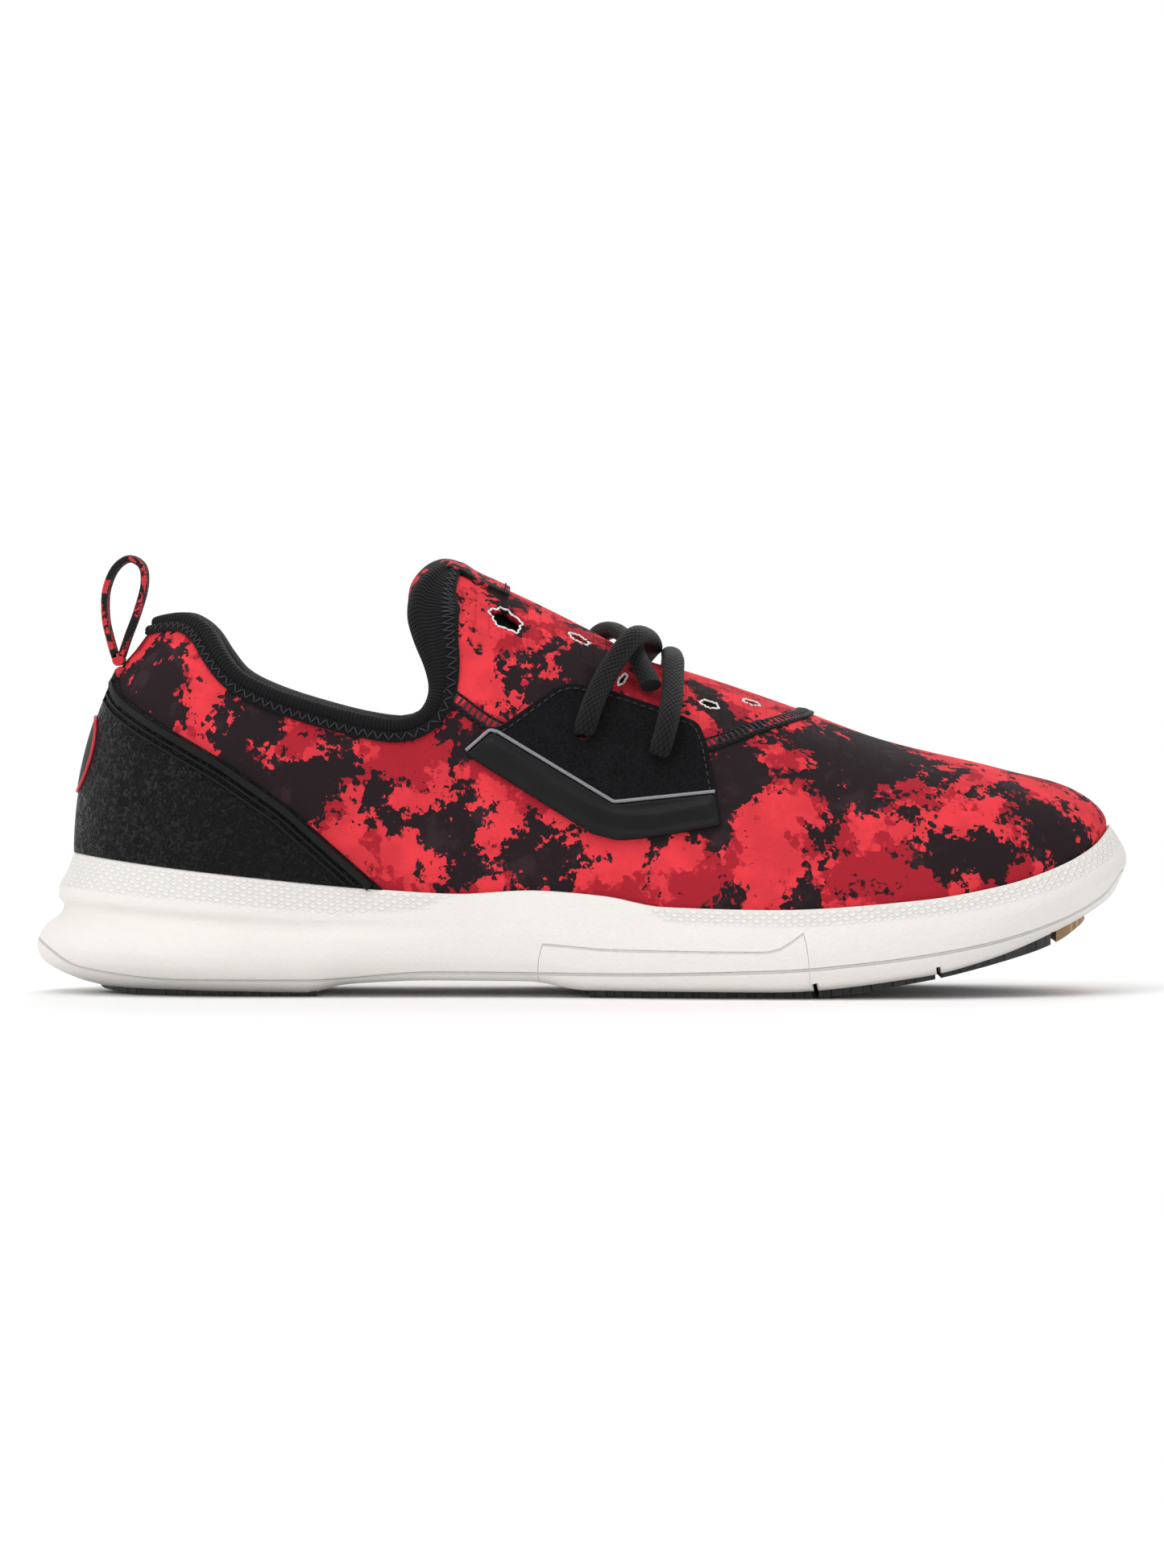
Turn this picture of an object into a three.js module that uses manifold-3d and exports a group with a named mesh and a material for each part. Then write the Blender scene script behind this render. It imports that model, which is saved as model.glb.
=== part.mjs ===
// Low slip-on trainer, right shoe. Millimetres, +X to the toe, -Y the outer side, +Z up,
// the origin on the ground under the middle of the sole.
import * as THREE from "three";
import { mergeVertices } from "three/addons/utils/BufferGeometryUtils.js";
import Module from "manifold-3d";

const wasm = await Module();
wasm.setup();

// ---------------------------------------------------------------- driving dimensions
const shoe_length = 300;
const ball_width = 106;
const clearance = 0.3;
const bed_clearance = 0.5;

const shell_wall = 3.7;
const shell_skived_wall = 2.2;
const stiffener_wall = 1.2;
const lining_wall = 1.0;
const collar_pad_bulge = 3.5;
const overlay_wall = 1.2;
const patch_wall = 1.0;
const film_wall = 0.8;
const badge_wall = 0.6;
const binding_wall = 0.9;
const binding_depth = 6;
const binding_roll = 2.6;
const tab_wall = 1.5;
const tab_half_width = 10;
const seam_width = 3.4;
const seam_depth = 1.2;
const trim_width = 2.6;
const line_width = 1.2;
const board_wall = 1.8;
const footbed_wall = 5;
const footbed_cover_wall = 1.2;
const footbed_side_gap = 0.9;
const pad_wall = 4.2;
const pad_inset = 6;
const notch_width = 1.6;
const notch_height = 2;
const bottom_inset = 5;
const lace_diameter = 4.2;
const loop_width = 13;
const loop_wall = 1.9;

// The patterns below are drawn for a 300 x 106 mm sole and graded to the driving sizes.
const grade_x = shoe_length / 300;
const grade_y = ball_width / 106;

// ---------------------------------------------------------------- small tools
const smooth = (x, low, high) => THREE.MathUtils.smoothstep(x, low, high);

/** A smooth function of x through the given [x, value] pairs, which never overshoots them. */
function graph(pairs) {
  const steep = (i) => (pairs[i + 1][1] - pairs[i][1]) / (pairs[i + 1][0] - pairs[i][0]);
  const slope = pairs.map((pair, i) => {
    if (i === 0) return steep(0);
    if (i === pairs.length - 1) return steep(i - 1);
    const product = steep(i - 1) * steep(i);
    return product > 0 ? (2 * product) / (steep(i - 1) + steep(i)) : 0;
  });
  return (x) => {
    const pattern_x = x / grade_x;
    let i = 0;
    while (i < pairs.length - 2 && pattern_x > pairs[i + 1][0]) i += 1;
    const span = pairs[i + 1][0] - pairs[i][0];
    const t = THREE.MathUtils.clamp((pattern_x - pairs[i][0]) / span, 0, 1);
    const rise = t * t * (3 - 2 * t);
    const into = t * (1 - t) * (1 - t) * span;
    const out = t * t * (t - 1) * span;
    return pairs[i][1] * (1 - rise) + pairs[i + 1][1] * rise + slope[i] * into + slope[i + 1] * out;
  };
}

/** A closed triangle mesh as a solid that can be joined and cut. */
function solid(geometry) {
  const bare = geometry.clone();
  bare.deleteAttribute("normal");
  bare.deleteAttribute("uv");
  const merged = mergeVertices(bare, 1e-5);
  const vertProperties = new Float32Array(merged.attributes.position.array);
  const triVerts = new Uint32Array(merged.index.array);
  return new wasm.Manifold(new wasm.Mesh({ numProp: 3, vertProperties, triVerts }));
}

/** A side-view outline of [x, z] points as a prism across the shoe, from y_low to y_high. */
function sidePrism(points, y_low = -100, y_high = 100) {
  const shape = new THREE.Shape(points.map(([x, z]) => new THREE.Vector2(x * grade_x, z)));
  const geometry = new THREE.ExtrudeGeometry(shape, { depth: y_high - y_low, bevelEnabled: false });
  geometry.rotateX(Math.PI / 2);
  geometry.translate(0, y_high, 0);
  return solid(geometry);
}

/** A plan outline of Vector2 points as a prism from z_low to z_high. */
function planPrism(points, z_low, z_high) {
  const geometry = new THREE.ExtrudeGeometry(new THREE.Shape(points), {
    depth: z_high - z_low,
    bevelEnabled: false,
  });
  geometry.translate(0, 0, z_low);
  return solid(geometry);
}

/** Points spread evenly along a smooth curve through [x, z] pairs. */
function along(pairs, steps) {
  const curve = new THREE.SplineCurve(pairs.map(([x, z]) => new THREE.Vector2(x, z)));
  return curve.getSpacedPoints(steps).map((point) => [point.x, point.y]);
}

/** The same polyline moved sideways, to the right of its direction of travel. */
function moved(points, distance) {
  return points.map(([x, z], i) => {
    const before = points[Math.max(i - 1, 0)];
    const after = points[Math.min(i + 1, points.length - 1)];
    const run = [after[0] - before[0], after[1] - before[1]];
    const size = Math.hypot(run[0], run[1]);
    return [x + (run[1] / size) * distance, z - (run[0] / size) * distance];
  });
}

/** A strip of constant width centred on a polyline. */
const strip = (points, width) => [...moved(points, -width / 2), ...moved(points, width / 2).reverse()];

// ---------------------------------------------------------------- the last: the shape of the upper
const stations_per_side = 16;
const rows_above = 6;
const rows_below = 3;
const below_sweep = Math.PI / 3;

// The feather line in plan, where the upper enters the sole: heel, outer side, toe, inner side.
const feather = new THREE.CatmullRomCurve3(
  [
    [-138.3, 0],
    [-128, -21],
    [-104, -33],
    [-66, -35],
    [-22, -37.5],
    [22, -44.6],
    [62, -47.8],
    [104, -41],
    [133, -24],
    [144.5, 3],
    [136.5, 27],
    [110, 41],
    [64, 47.8],
    [22, 39],
    [-22, 32.5],
    [-66, 32],
    [-104, 31],
    [-128, 20.5],
  ].map(([x, y]) => new THREE.Vector3(x * grade_x, y * grade_y, 0)),
  true,
);

// Heights along the shoe.
const featherHeight = graph([
  [-138.3, 38.6],
  [-104, 34.2],
  [-53, 29.2],
  [-33, 28.2],
  [-14, 29.2],
  [6, 27.8],
  [22, 24.9],
  [52, 24.2],
  [91, 26.7],
  [114, 30.6],
  [129, 35.4],
  [139.6, 41],
  [144.5, 45.8],
]);
const ridgeHeight = graph([
  [-140, 115],
  [-95, 115],
  [-70, 121],
  [-50, 120.5],
  [-36, 117],
  [-18, 109.4],
  [8, 96.4],
  [17, 91.4],
  [30, 87.8],
  [57, 78.7],
  [83, 69.2],
  [110, 62.7],
  [122, 59.8],
  [136, 58],
  [145, 56],
]);
const floorHeight = graph([
  [-138, 22.5],
  [-100, 20.5],
  [-50, 17.5],
  [0, 13],
  [50, 11],
  [80, 12],
  [105, 16.5],
  [125, 23],
  [145, 31],
]);

// Where each station of the feather line meets the ridge, and how far inward the ridge runs.
const ridgeStation = graph([
  [-138.3, -90],
  [-104, -80],
  [-66, -62],
  [-22, -22],
  [62, 60],
  [104, 95],
  [132, 112],
  [144.5, 118],
]);
const ridgeSide = graph([
  [-138, 0],
  [-40, 0],
  [20, 3],
  [70, 5],
  [145, 5],
]);
const fullness = graph([
  [-138, 1.95],
  [-104, 2.3],
  [-60, 2.5],
  [-22, 2.15],
  [40, 2.1],
  [145, 2.2],
]);

/** Station i of count, from 0 at the heel to 0.5 at the toe, closer together at both ends. */
function station(i, count) {
  const turn = i / count;
  return turn - 0.03 * Math.sin(4 * Math.PI * turn);
}

/** Feather point and outward direction at s. */
function featherAt(s) {
  const point = feather.getPoint(s);
  const tangent = feather.getTangent(s);
  return { x: point.x, y: point.y, nx: tangent.y, ny: -tangent.x };
}

/** A point of the upper's outer surface: rise 0 at the feather line and 1 on the ridge. */
function upperPoint(s, rise) {
  const foot = featherAt(s);
  const mean_x = (foot.x + featherAt(1 - s).x) / 2;
  const top_x = ridgeStation(mean_x) * grade_x;
  const top_y = ridgeSide(top_x) * grade_y;
  const power = 2 / fullness(mean_x);
  const angle = (rise * Math.PI) / 2;
  const spread = Math.pow(Math.max(Math.cos(angle), 0), power);
  const lift = Math.pow(Math.sin(angle), power);
  const x = top_x + (foot.x - top_x) * spread;
  const y = top_y + (foot.y - top_y) * spread;
  const low = featherHeight(foot.x);
  return new THREE.Vector3(x, y, low + (ridgeHeight(x) - low) * lift);
}

/** Rings from the ridge down to the floor, all with one point per station. */
function lastRings(offset, floor_rise, through) {
  const count = 2 * stations_per_side;
  const rings = [];
  for (let row = rows_above; row >= 0; row -= 1) {
    const ring = [];
    for (let i = 0; i < count; i += 1) ring.push(upperPoint(station(i, count), row / rows_above));
    rings.push(ring);
  }
  for (let row = 1; row <= rows_below; row += 1) {
    const angle = (row / rows_below) * below_sweep;
    const tuck = (bottom_inset * (1 - Math.cos(angle))) / (1 - Math.cos(below_sweep));
    const drop = Math.sin(angle) / Math.sin(below_sweep);
    const ring = [];
    for (let i = 0; i < count; i += 1) {
      const foot = featherAt(station(i, count));
      const x = foot.x + foot.nx * (offset - tuck);
      const y = foot.y + foot.ny * (offset - tuck);
      const high = featherHeight(foot.x);
      ring.push(new THREE.Vector3(x, y, high + (floorHeight(x) + floor_rise - high) * drop));
    }
    rings.push(ring);
  }
  if (through) rings.push(rings[rings.length - 1].map((point) => new THREE.Vector3(point.x, point.y, -20)));
  return rings;
}

/** Rings joined to a closed body, with flat strips across its first and last ring. */
function closedBody(rings) {
  const count = rings[0].length;
  const positions = rings.flatMap((ring) => ring.flatMap((point) => [point.x, point.y, point.z]));
  const index = [];
  for (let row = 0; row + 1 < rings.length; row += 1) {
    for (let i = 0; i < count; i += 1) {
      const next = (i + 1) % count;
      const a = row * count + i;
      const b = row * count + next;
      const c = a + count;
      const d = b + count;
      index.push(a, c, d, a, d, b);
    }
  }
  const last = (rings.length - 1) * count;
  for (let i = 0; i < count / 2; i += 1) {
    const far = (count - i) % count;
    const near = i + 1;
    const far_next = count - i - 1;
    if (i > 0) {
      index.push(i, near, far);
      index.push(last + i, last + far, last + near);
    }
    if (near !== far_next) {
      index.push(near, far_next, far);
      index.push(last + near, last + far, last + far_next);
    }
  }
  const geometry = new THREE.BufferGeometry();
  geometry.setAttribute("position", new THREE.Float32BufferAttribute(positions, 3));
  geometry.setIndex(index);
  return geometry;
}

/** The outward direction at each point of the rings above the feather line, ridge first. */
const outward = (() => {
  const count = 2 * stations_per_side;
  const geometry = closedBody(lastRings(0, 0, false));
  geometry.computeVertexNormals();
  const normal = (row, i) => new THREE.Vector3().fromBufferAttribute(geometry.attributes.normal, row * count + i);
  const rows = Array.from({ length: rows_above + 1 }, (_, row) => Array.from({ length: count }, (_, i) => normal(row, i)));
  rows[0] = rows[0].map((direction, i) => direction.clone().add(rows[0][(count - i) % count]).normalize());
  return rows;
})();

/**
 * The last grown by offset, which is a number or a function of the point. Its floor is floor_rise
 * above the last's own, or open downward when through is set.
 */
function last(offset, floor_rise = 0, through = false) {
  const depth = typeof offset === "number" ? () => offset : offset;
  const rings = lastRings(depth(new THREE.Vector3()), floor_rise, through);
  outward.forEach((directions, row) => {
    rings[row] = rings[row].map((point, i) => point.clone().addScaledVector(directions[i], depth(point)));
  });
  return solid(closedBody(rings));
}

// ---------------------------------------------------------------- outlines seen from the side
// The rim of the foot opening, from behind the heel over the ankle and up the back of the tongue.
const rim = along(
  [
    [-145, 100.5],
    [-122, 101],
    [-113, 103.2],
    [-107, 103.6],
    [-102, 100.6],
    [-97.8, 94.2],
    [-93, 88.3],
    [-85, 84],
    [-70, 79],
    [-57, 75.8],
    [-49, 75],
    [-43.3, 77.3],
    [-40.4, 83],
    [-41.3, 90],
    [-44.4, 98],
    [-46.2, 105],
    [-45, 111.6],
    [-41, 116],
    [-36, 118.5],
    [-25, 124],
  ],
  40,
);
const rimHeight = graph([
  [-145, 100.5],
  [-107, 103.6],
  [-97.8, 94.2],
  [-85, 84],
  [-57, 75.8],
  [-40, 75],
]);

/** The space above the rim, grown into the shoe by depth. */
function opening(depth) {
  const edge = moved(rim, depth);
  return sidePrism([...edge, [edge[edge.length - 1][0], 200], [edge[0][0], 200]]);
}

// The seam that closes the throat panel, from the collar corner over the instep.
const throat_seam_line = along(
  [
    [-46, 90],
    [-40, 85],
    [-33, 79.8],
    [-23.3, 73.2],
    [0, 66],
    [20, 65.4],
    [34.7, 68.6],
    [45.7, 72.3],
    [59.6, 76.3],
    [72, 80.5],
  ],
  24,
);

/** The space above the throat seam, shrunk upward by distance. */
function throatZone(distance) {
  const edge = moved(throat_seam_line, -distance);
  return sidePrism([...edge, [90, 200], [-90, 200], [-90, 91]]);
}

const overlay_edge = [
  [-126.6, 89.6],
  [-125.4, 81.8],
  [-116.5, 75.4],
  [-96.9, 64.1],
  [-79.9, 52.2],
  [-53.5, 29],
];
const line_edge = [
  [-31.4, 66.8],
  [-25, 72.3],
  [-22.6, 71.6],
  [8.7, 52.9],
  [35.9, 55.5],
];
const patch_outline = [
  [-30.6, 66.8],
  [-24.8, 72.9],
  [-22.2, 73.2],
  [-7.4, 83.8],
  [-3, 85],
  [7.1, 82.9],
  [21.2, 78.1],
  [31.6, 73.9],
  [34, 68.3],
  [36.4, 55.5],
  [37, 47.4],
  [17.7, 44.3],
  [9.8, 43.7],
  [3, 45.5],
  [-12, 54.7],
];
const film_lower_edge = [
  [37.6, 46.5],
  [17.7, 43.3],
  [9.8, 42.7],
  [2.6, 44.5],
  [-12, 53.6],
  [-31.9, 66],
];
const lace_holes = [
  [0.6, 72.3],
  [21, 66.8],
];

// ---------------------------------------------------------------- materials
const paint = (color, roughness) => new THREE.MeshStandardMaterial({ color, roughness, metalness: 0 });
const print_red = paint(0xd8323c, 0.85);
const print_dark = paint(0x8c2229, 0.85);
const black_leather = paint(0x222124, 0.6);
const black_suede = paint(0x262528, 0.9);
const black_film = paint(0x1d1d20, 0.7);
const black_tape = paint(0x17171a, 0.9);
const badge_red = paint(0xc02a33, 0.6);
const reflective_grey = paint(0x9a9a9c, 0.35);
const sole_white = paint(0xe9e6df, 0.65);
const gum_rubber = paint(0x9a7748, 0.8);
const foam_grey = paint(0xb9b6b0, 0.9);
const board_white = paint(0xe4e1d8, 0.9);
const stiffener_tan = paint(0xc7b08a, 0.7);

const shoe = new THREE.Group();

function addMesh(name, geometry, material) {
  const mesh = new THREE.Mesh(geometry, material);
  mesh.name = name;
  shoe.add(mesh);
  return mesh;
}

/** Puts a finished solid into the scene as a named mesh. */
function addSolid(name, body, material) {
  const { vertProperties, triVerts } = body.getMesh();
  const geometry = new THREE.BufferGeometry();
  geometry.setAttribute("position", new THREE.Float32BufferAttribute(vertProperties, 3));
  geometry.setIndex(new THREE.Uint32BufferAttribute(triVerts, 1));
  geometry.computeVertexNormals();
  return addMesh(name, geometry, material);
}

// ---------------------------------------------------------------- sole
// How far the sole's side stands out from the feather line, from its top edge to its bottom.
const sole_rows = [
  { drop: 0, heel: 1.3, waist: 1.3, ball: 1.4, toe: 0.9 },
  { drop: 0.14, heel: 3.3, waist: 1.9, ball: 2.6, toe: 3.3 },
  { drop: 0.26, heel: 5.6, waist: 2.4, ball: 3.6, toe: 5 },
  { drop: 0.32, heel: 5.7, waist: 2.6, ball: 4.1, toe: 5.4 },
  { drop: 0.385, heel: 4.2, waist: 2.8, ball: 4.5, toe: 5.5 },
  { drop: 0.45, heel: 5.2, waist: 3, ball: 4.8, toe: 5 },
  { drop: 0.51, heel: 8.6, waist: 3.1, ball: 5, toe: 4.4 },
  { drop: 0.6, heel: 11, waist: 3.1, ball: 5.1, toe: 3.4 },
  { drop: 0.68, heel: 11.7, waist: 3, ball: 5, toe: 2.4 },
  { drop: 0.76, heel: 10.8, waist: 2.7, ball: 4.8, toe: 1 },
  { drop: 0.83, heel: 7.6, waist: 2, ball: 4.2, toe: -1.2 },
  { drop: 0.93, heel: -1, waist: 0.4, ball: 2.8, toe: -5 },
  { drop: 1, heel: -12, waist: -4, ball: -2, toe: -9 },
];
const soleBottom = graph([
  [-138.3, 0.7],
  [-76, 0.7],
  [-64, 3.4],
  [-40, 4.5],
  [-15, 4.8],
  [0, 3.1],
  [52, 3.4],
  [92, 7],
  [113, 11.2],
  [129, 15.3],
  [144.5, 20],
]);
const padBottom = graph([
  [-140, 3.2],
  [-128, 0.8],
  [-118, 0],
  [-72, 0],
  [8, 0],
  [58, 0],
  [92, 4.4],
  [113, 9.2],
  [129, 14.2],
  [140, 20.6],
]);
const notch_places = [63.1, 96.4, 128.6];
const heel_pad_span = [-134, -72];
const front_pad_start = 2;
const front_pad_end = 142;

function soleSide(row, x) {
  const heel = Math.pow(1 - smooth(x / grade_x, -150, -30), 0.8);
  const toe = smooth(x / grade_x, 95, 144);
  const ball = smooth(x / grade_x, -10, 35);
  const middle = row.waist * (1 - ball) + row.ball * ball;
  return row.heel * heel + (middle * (1 - toe) + row.toe * toe) * (1 - heel);
}

function soleBlock() {
  const count = 2 * stations_per_side;
  const rings = sole_rows.map((row) => {
    const ring = [];
    for (let i = 0; i < count; i += 1) {
      const foot = featherAt(station(i, count));
      const out = soleSide(row, foot.x);
      const top = featherHeight(foot.x);
      const z = top - (top - soleBottom(foot.x)) * row.drop;
      ring.push(new THREE.Vector3(foot.x + foot.nx * out, foot.y + foot.ny * out, z));
    }
    return ring;
  });
  return solid(closedBody(rings));
}

/** The feather line in plan, moved inward. */
function insetOutline(inset) {
  const count = 2 * stations_per_side;
  const points = [];
  for (let i = 0; i < count; i += 1) {
    const foot = featherAt(station(i, count));
    points.push(new THREE.Vector2(foot.x - foot.nx * inset, foot.y - foot.ny * inset));
  }
  return points;
}

/** A layer that follows a height curve along the shoe, from x_low to x_high. */
function layer(height, low, high, x_low = -150, x_high = 150) {
  const steps = 24;
  const xs = Array.from({ length: steps + 1 }, (_, i) => x_low + ((x_high - x_low) * i) / steps);
  const under = xs.map((x) => [x, height(x * grade_x) + low]);
  const over = xs.map((x) => [x, height(x * grade_x) + high]).reverse();
  return sidePrism([...under, ...over]);
}

function buildSole() {
  const pad_spans = [
    ["heel_pad", heel_pad_span[0], heel_pad_span[1]],
    ["forefoot_pad_rear", front_pad_start, notch_places[0] - notch_width / 2],
    ["forefoot_pad_middle", notch_places[0] + notch_width / 2, notch_places[1] - notch_width / 2],
    ["forefoot_pad_front", notch_places[1] + notch_width / 2, notch_places[2] - notch_width / 2],
    ["toe_pad", notch_places[2] + notch_width / 2, front_pad_end],
  ];
  let midsole = soleBlock().subtract(last(clearance, -bed_clearance));
  const pad_plan = planPrism(insetOutline(pad_inset), -10, 60);
  const pocket_plan = planPrism(insetOutline(pad_inset - clearance), -10, 60);
  for (const [name, x_low, x_high] of pad_spans) {
    addSolid(name, pad_plan.intersect(layer(padBottom, 0, pad_wall, x_low, x_high)), gum_rubber);
    const reach = clearance / grade_x;
    const pocket = layer(padBottom, -8, pad_wall + clearance, x_low - reach, x_high + reach);
    midsole = midsole.subtract(pocket_plan.intersect(pocket));
  }
  for (const x of notch_places) {
    const roof = soleBottom(x * grade_x) + notch_height;
    const half = notch_width / 2;
    midsole = midsole.subtract(
      sidePrism([
        [x - half, -5],
        [x + half, -5],
        [x + half, roof],
        [x - half, roof],
      ]),
    );
  }
  addSolid("midsole", midsole, sole_white);
}

// ---------------------------------------------------------------- inside the shoe
const lining_offset = -shell_wall - clearance;
const lining_inner = lining_offset - lining_wall;
const floor_above_board = board_wall + clearance;

/** How far the collar padding pushes the lining inward at a point. */
function padBulge(point) {
  const x = point.x / grade_x;
  const under_rim = rimHeight(point.x) - point.z;
  const height = 1 - smooth(under_rim, 7, 22);
  return collar_pad_bulge * height * (1 - smooth(x, -66, -48));
}

const liningSurface = (offset) => (point) => offset - padBulge(point);

function buildFootbed() {
  const edge = -shell_wall - clearance;
  const sheet_above_bed = last(edge).subtract(last(edge + 1, board_wall));
  const plan = planPrism(insetOutline(bottom_inset - edge), -10, 60);
  addSolid("lasting_board", sheet_above_bed.intersect(plan), board_white);
  const room = last(lining_inner - footbed_side_gap, floor_above_board);
  const foam_top = floor_above_board + footbed_wall;
  addSolid("footbed_foam", room.intersect(layer(floorHeight, -5, foam_top)), foam_grey);
  const cover_low = foam_top + clearance;
  const cover = layer(floorHeight, cover_low, cover_low + footbed_cover_wall);
  addSolid("footbed_cover", room.intersect(cover), black_tape);
}

const counter_zone = [
  [-150, 10],
  [-60, 10],
  [-62, 34],
  [-80, 52],
  [-108, 70],
  [-150, 76],
];
const puff_zone = [
  [104, 5],
  [150, 5],
  [150, 80],
  [97, 80],
];

/** The padding's side outline, from under the rim down to its tapered lower edge. */
function paddingZone(grow) {
  const xs = Array.from({ length: 21 }, (_, i) => -150 + i * 4.6);
  const edge = xs.map((x) => [x, rimHeight(x * grade_x) - 18 - grow]);
  const front = edge[edge.length - 1];
  return sidePrism([...edge, [front[0] + grow, front[1]], [front[0] + grow, 130], [-150, 130]]);
}

function grown(points, distance) {
  const closed = [...points, points[0], points[1]];
  return moved(closed, distance).slice(1, points.length + 1);
}

function buildStiffeners() {
  const top = last(-shell_skived_wall - clearance, floor_above_board);
  const wall = top.subtract(last(-shell_skived_wall - clearance - stiffener_wall, floor_above_board, true));
  addSolid("heel_counter", wall.intersect(sidePrism(counter_zone)), stiffener_tan);
  addSolid("toe_puff", wall.intersect(sidePrism(puff_zone)), stiffener_tan);
}

/** What is cut from inside the shell for the counter, the puff and the collar padding. */
function skivedSpace() {
  const zones = sidePrism(grown(counter_zone, clearance))
    .add(sidePrism(grown(puff_zone, clearance)))
    .add(paddingZone(clearance));
  return last(-shell_skived_wall, 0, true).intersect(zones);
}

function buildLiningAndPadding() {
  const lining = last(liningSurface(lining_offset), floor_above_board)
    .subtract(last(liningSurface(lining_inner), floor_above_board, true))
    .subtract(opening(binding_roll));
  addSolid("lining", lining, black_tape);
  const padding = last(-shell_skived_wall - clearance)
    .subtract(last(liningSurface(lining_offset + clearance)))
    .intersect(paddingZone(0))
    .subtract(opening(binding_roll));
  addSolid("collar_padding", padding, foam_grey);
}

// ---------------------------------------------------------------- upper
/** A point of the upper seen at [x, z] from one side, with its outward direction. */
function surfacePoint(x, z, side) {
  const body = new THREE.Mesh(mergeVertices(closedBody(lastRings(0, 0, false)), 1e-5));
  const start = new THREE.Vector3(x * grade_x, side * 200, z);
  const hit = new THREE.Raycaster(start, new THREE.Vector3(0, -side, 0)).intersectObject(body)[0];
  return { point: hit.point, normal: hit.face.normal };
}

const slits = [
  { x: -20.8, z: 102.3, side: -1, length: 8, width: 3, tilt: -0.6 },
  { x: 10, z: 87, side: -1, length: 4.5, width: 1.4, tilt: 0.9 },
  { x: 34.7, z: 78.9, side: -1, length: 4.8, width: 1.4, tilt: -0.4 },
  { x: 46.2, z: 80.6, side: -1, length: 5, width: 1.4, tilt: -0.3 },
  { x: -20.8, z: 102.3, side: 1, length: 8, width: 3, tilt: -0.6 },
  { x: 10, z: 87, side: 1, length: 4.5, width: 1.4, tilt: 0.9 },
  { x: 34.7, z: 78.9, side: 1, length: 4.8, width: 1.4, tilt: -0.4 },
];

function slitCutter({ x, z, side, length, width, tilt }) {
  const { point, normal } = surfacePoint(x, z, side);
  const depth = 3 * shell_wall;
  const holder = new THREE.Object3D();
  holder.up.set(0, 0, 1);
  holder.position.copy(point);
  holder.lookAt(point.clone().add(normal));
  holder.rotateZ(-side * tilt);
  holder.updateMatrix();
  return solid(new THREE.BoxGeometry(length, width, depth).applyMatrix4(holder.matrix));
}

function buildShell() {
  const wall = last(0).subtract(last(-shell_wall, 0, true)).subtract(opening(binding_roll));
  const half = seam_width / 2 + clearance;
  const quarter = wall.subtract(throatZone(-half)).subtract(skivedSpace());
  addSolid("quarter_and_vamp", quarter, print_red);
  let panel = wall.intersect(throatZone(half));
  for (const slit of slits) panel = panel.subtract(slitCutter(slit));
  addSolid("throat_panel", panel, print_dark);
  const seam = last(0)
    .subtract(last(-seam_depth))
    .intersect(sidePrism(strip(throat_seam_line, seam_width)))
    .subtract(opening(binding_roll));
  addSolid("throat_seam", seam, black_tape);
}

/** The layers that the binding and the tab wrap around, with their clearance. */
function rimCore() {
  return last(clearance)
    .subtract(last(liningSurface(lining_inner - clearance)))
    .subtract(opening(binding_roll - clearance));
}

function box(x, y, z) {
  const geometry = new THREE.BoxGeometry(x[1] - x[0], y[1] - y[0], z[1] - z[0]);
  return solid(geometry.translate((x[0] + x[1]) / 2, (y[0] + y[1]) / 2, (z[0] + z[1]) / 2));
}

const tongue_band_front = -33;
const tab_front = -19.3;
const tab_inside_front = -34;

function buildBinding() {
  const core = rimCore();
  const tongue_band = [
    [-50, 84],
    [tongue_band_front, 84],
    [tongue_band_front, 130],
    [-50, 130],
  ];
  const zone = opening(binding_depth).add(sidePrism(tongue_band)).subtract(opening(0));
  const slot = box([-60 * grade_x, 20], [-tab_half_width - clearance, tab_half_width + clearance], [95, 150]);
  const binding = last(clearance + binding_wall)
    .subtract(last(liningSurface(lining_inner - clearance - binding_wall)))
    .intersect(zone)
    .subtract(core)
    .subtract(slot);
  addSolid("collar_binding", binding, black_tape);

  const reach = box([-60 * grade_x, tab_front * grade_x], [-tab_half_width, tab_half_width], [95, 150]);
  const inside = box([tab_inside_front * grade_x, 20], [-tab_half_width, tab_half_width], [60, 150]);
  const tab = last(clearance + tab_wall)
    .subtract(last(liningSurface(lining_inner - clearance - tab_wall)))
    .intersect(reach)
    .subtract(opening(0))
    .subtract(core)
    .subtract(last(-clearance).intersect(inside));
  addSolid("tongue_top_tab", tab, print_dark);
}

// ---------------------------------------------------------------- overlays
/** A sheet lying on the upper between two offsets. */
const sheet = (low, wall) => last(low + wall).subtract(last(low));

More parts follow.
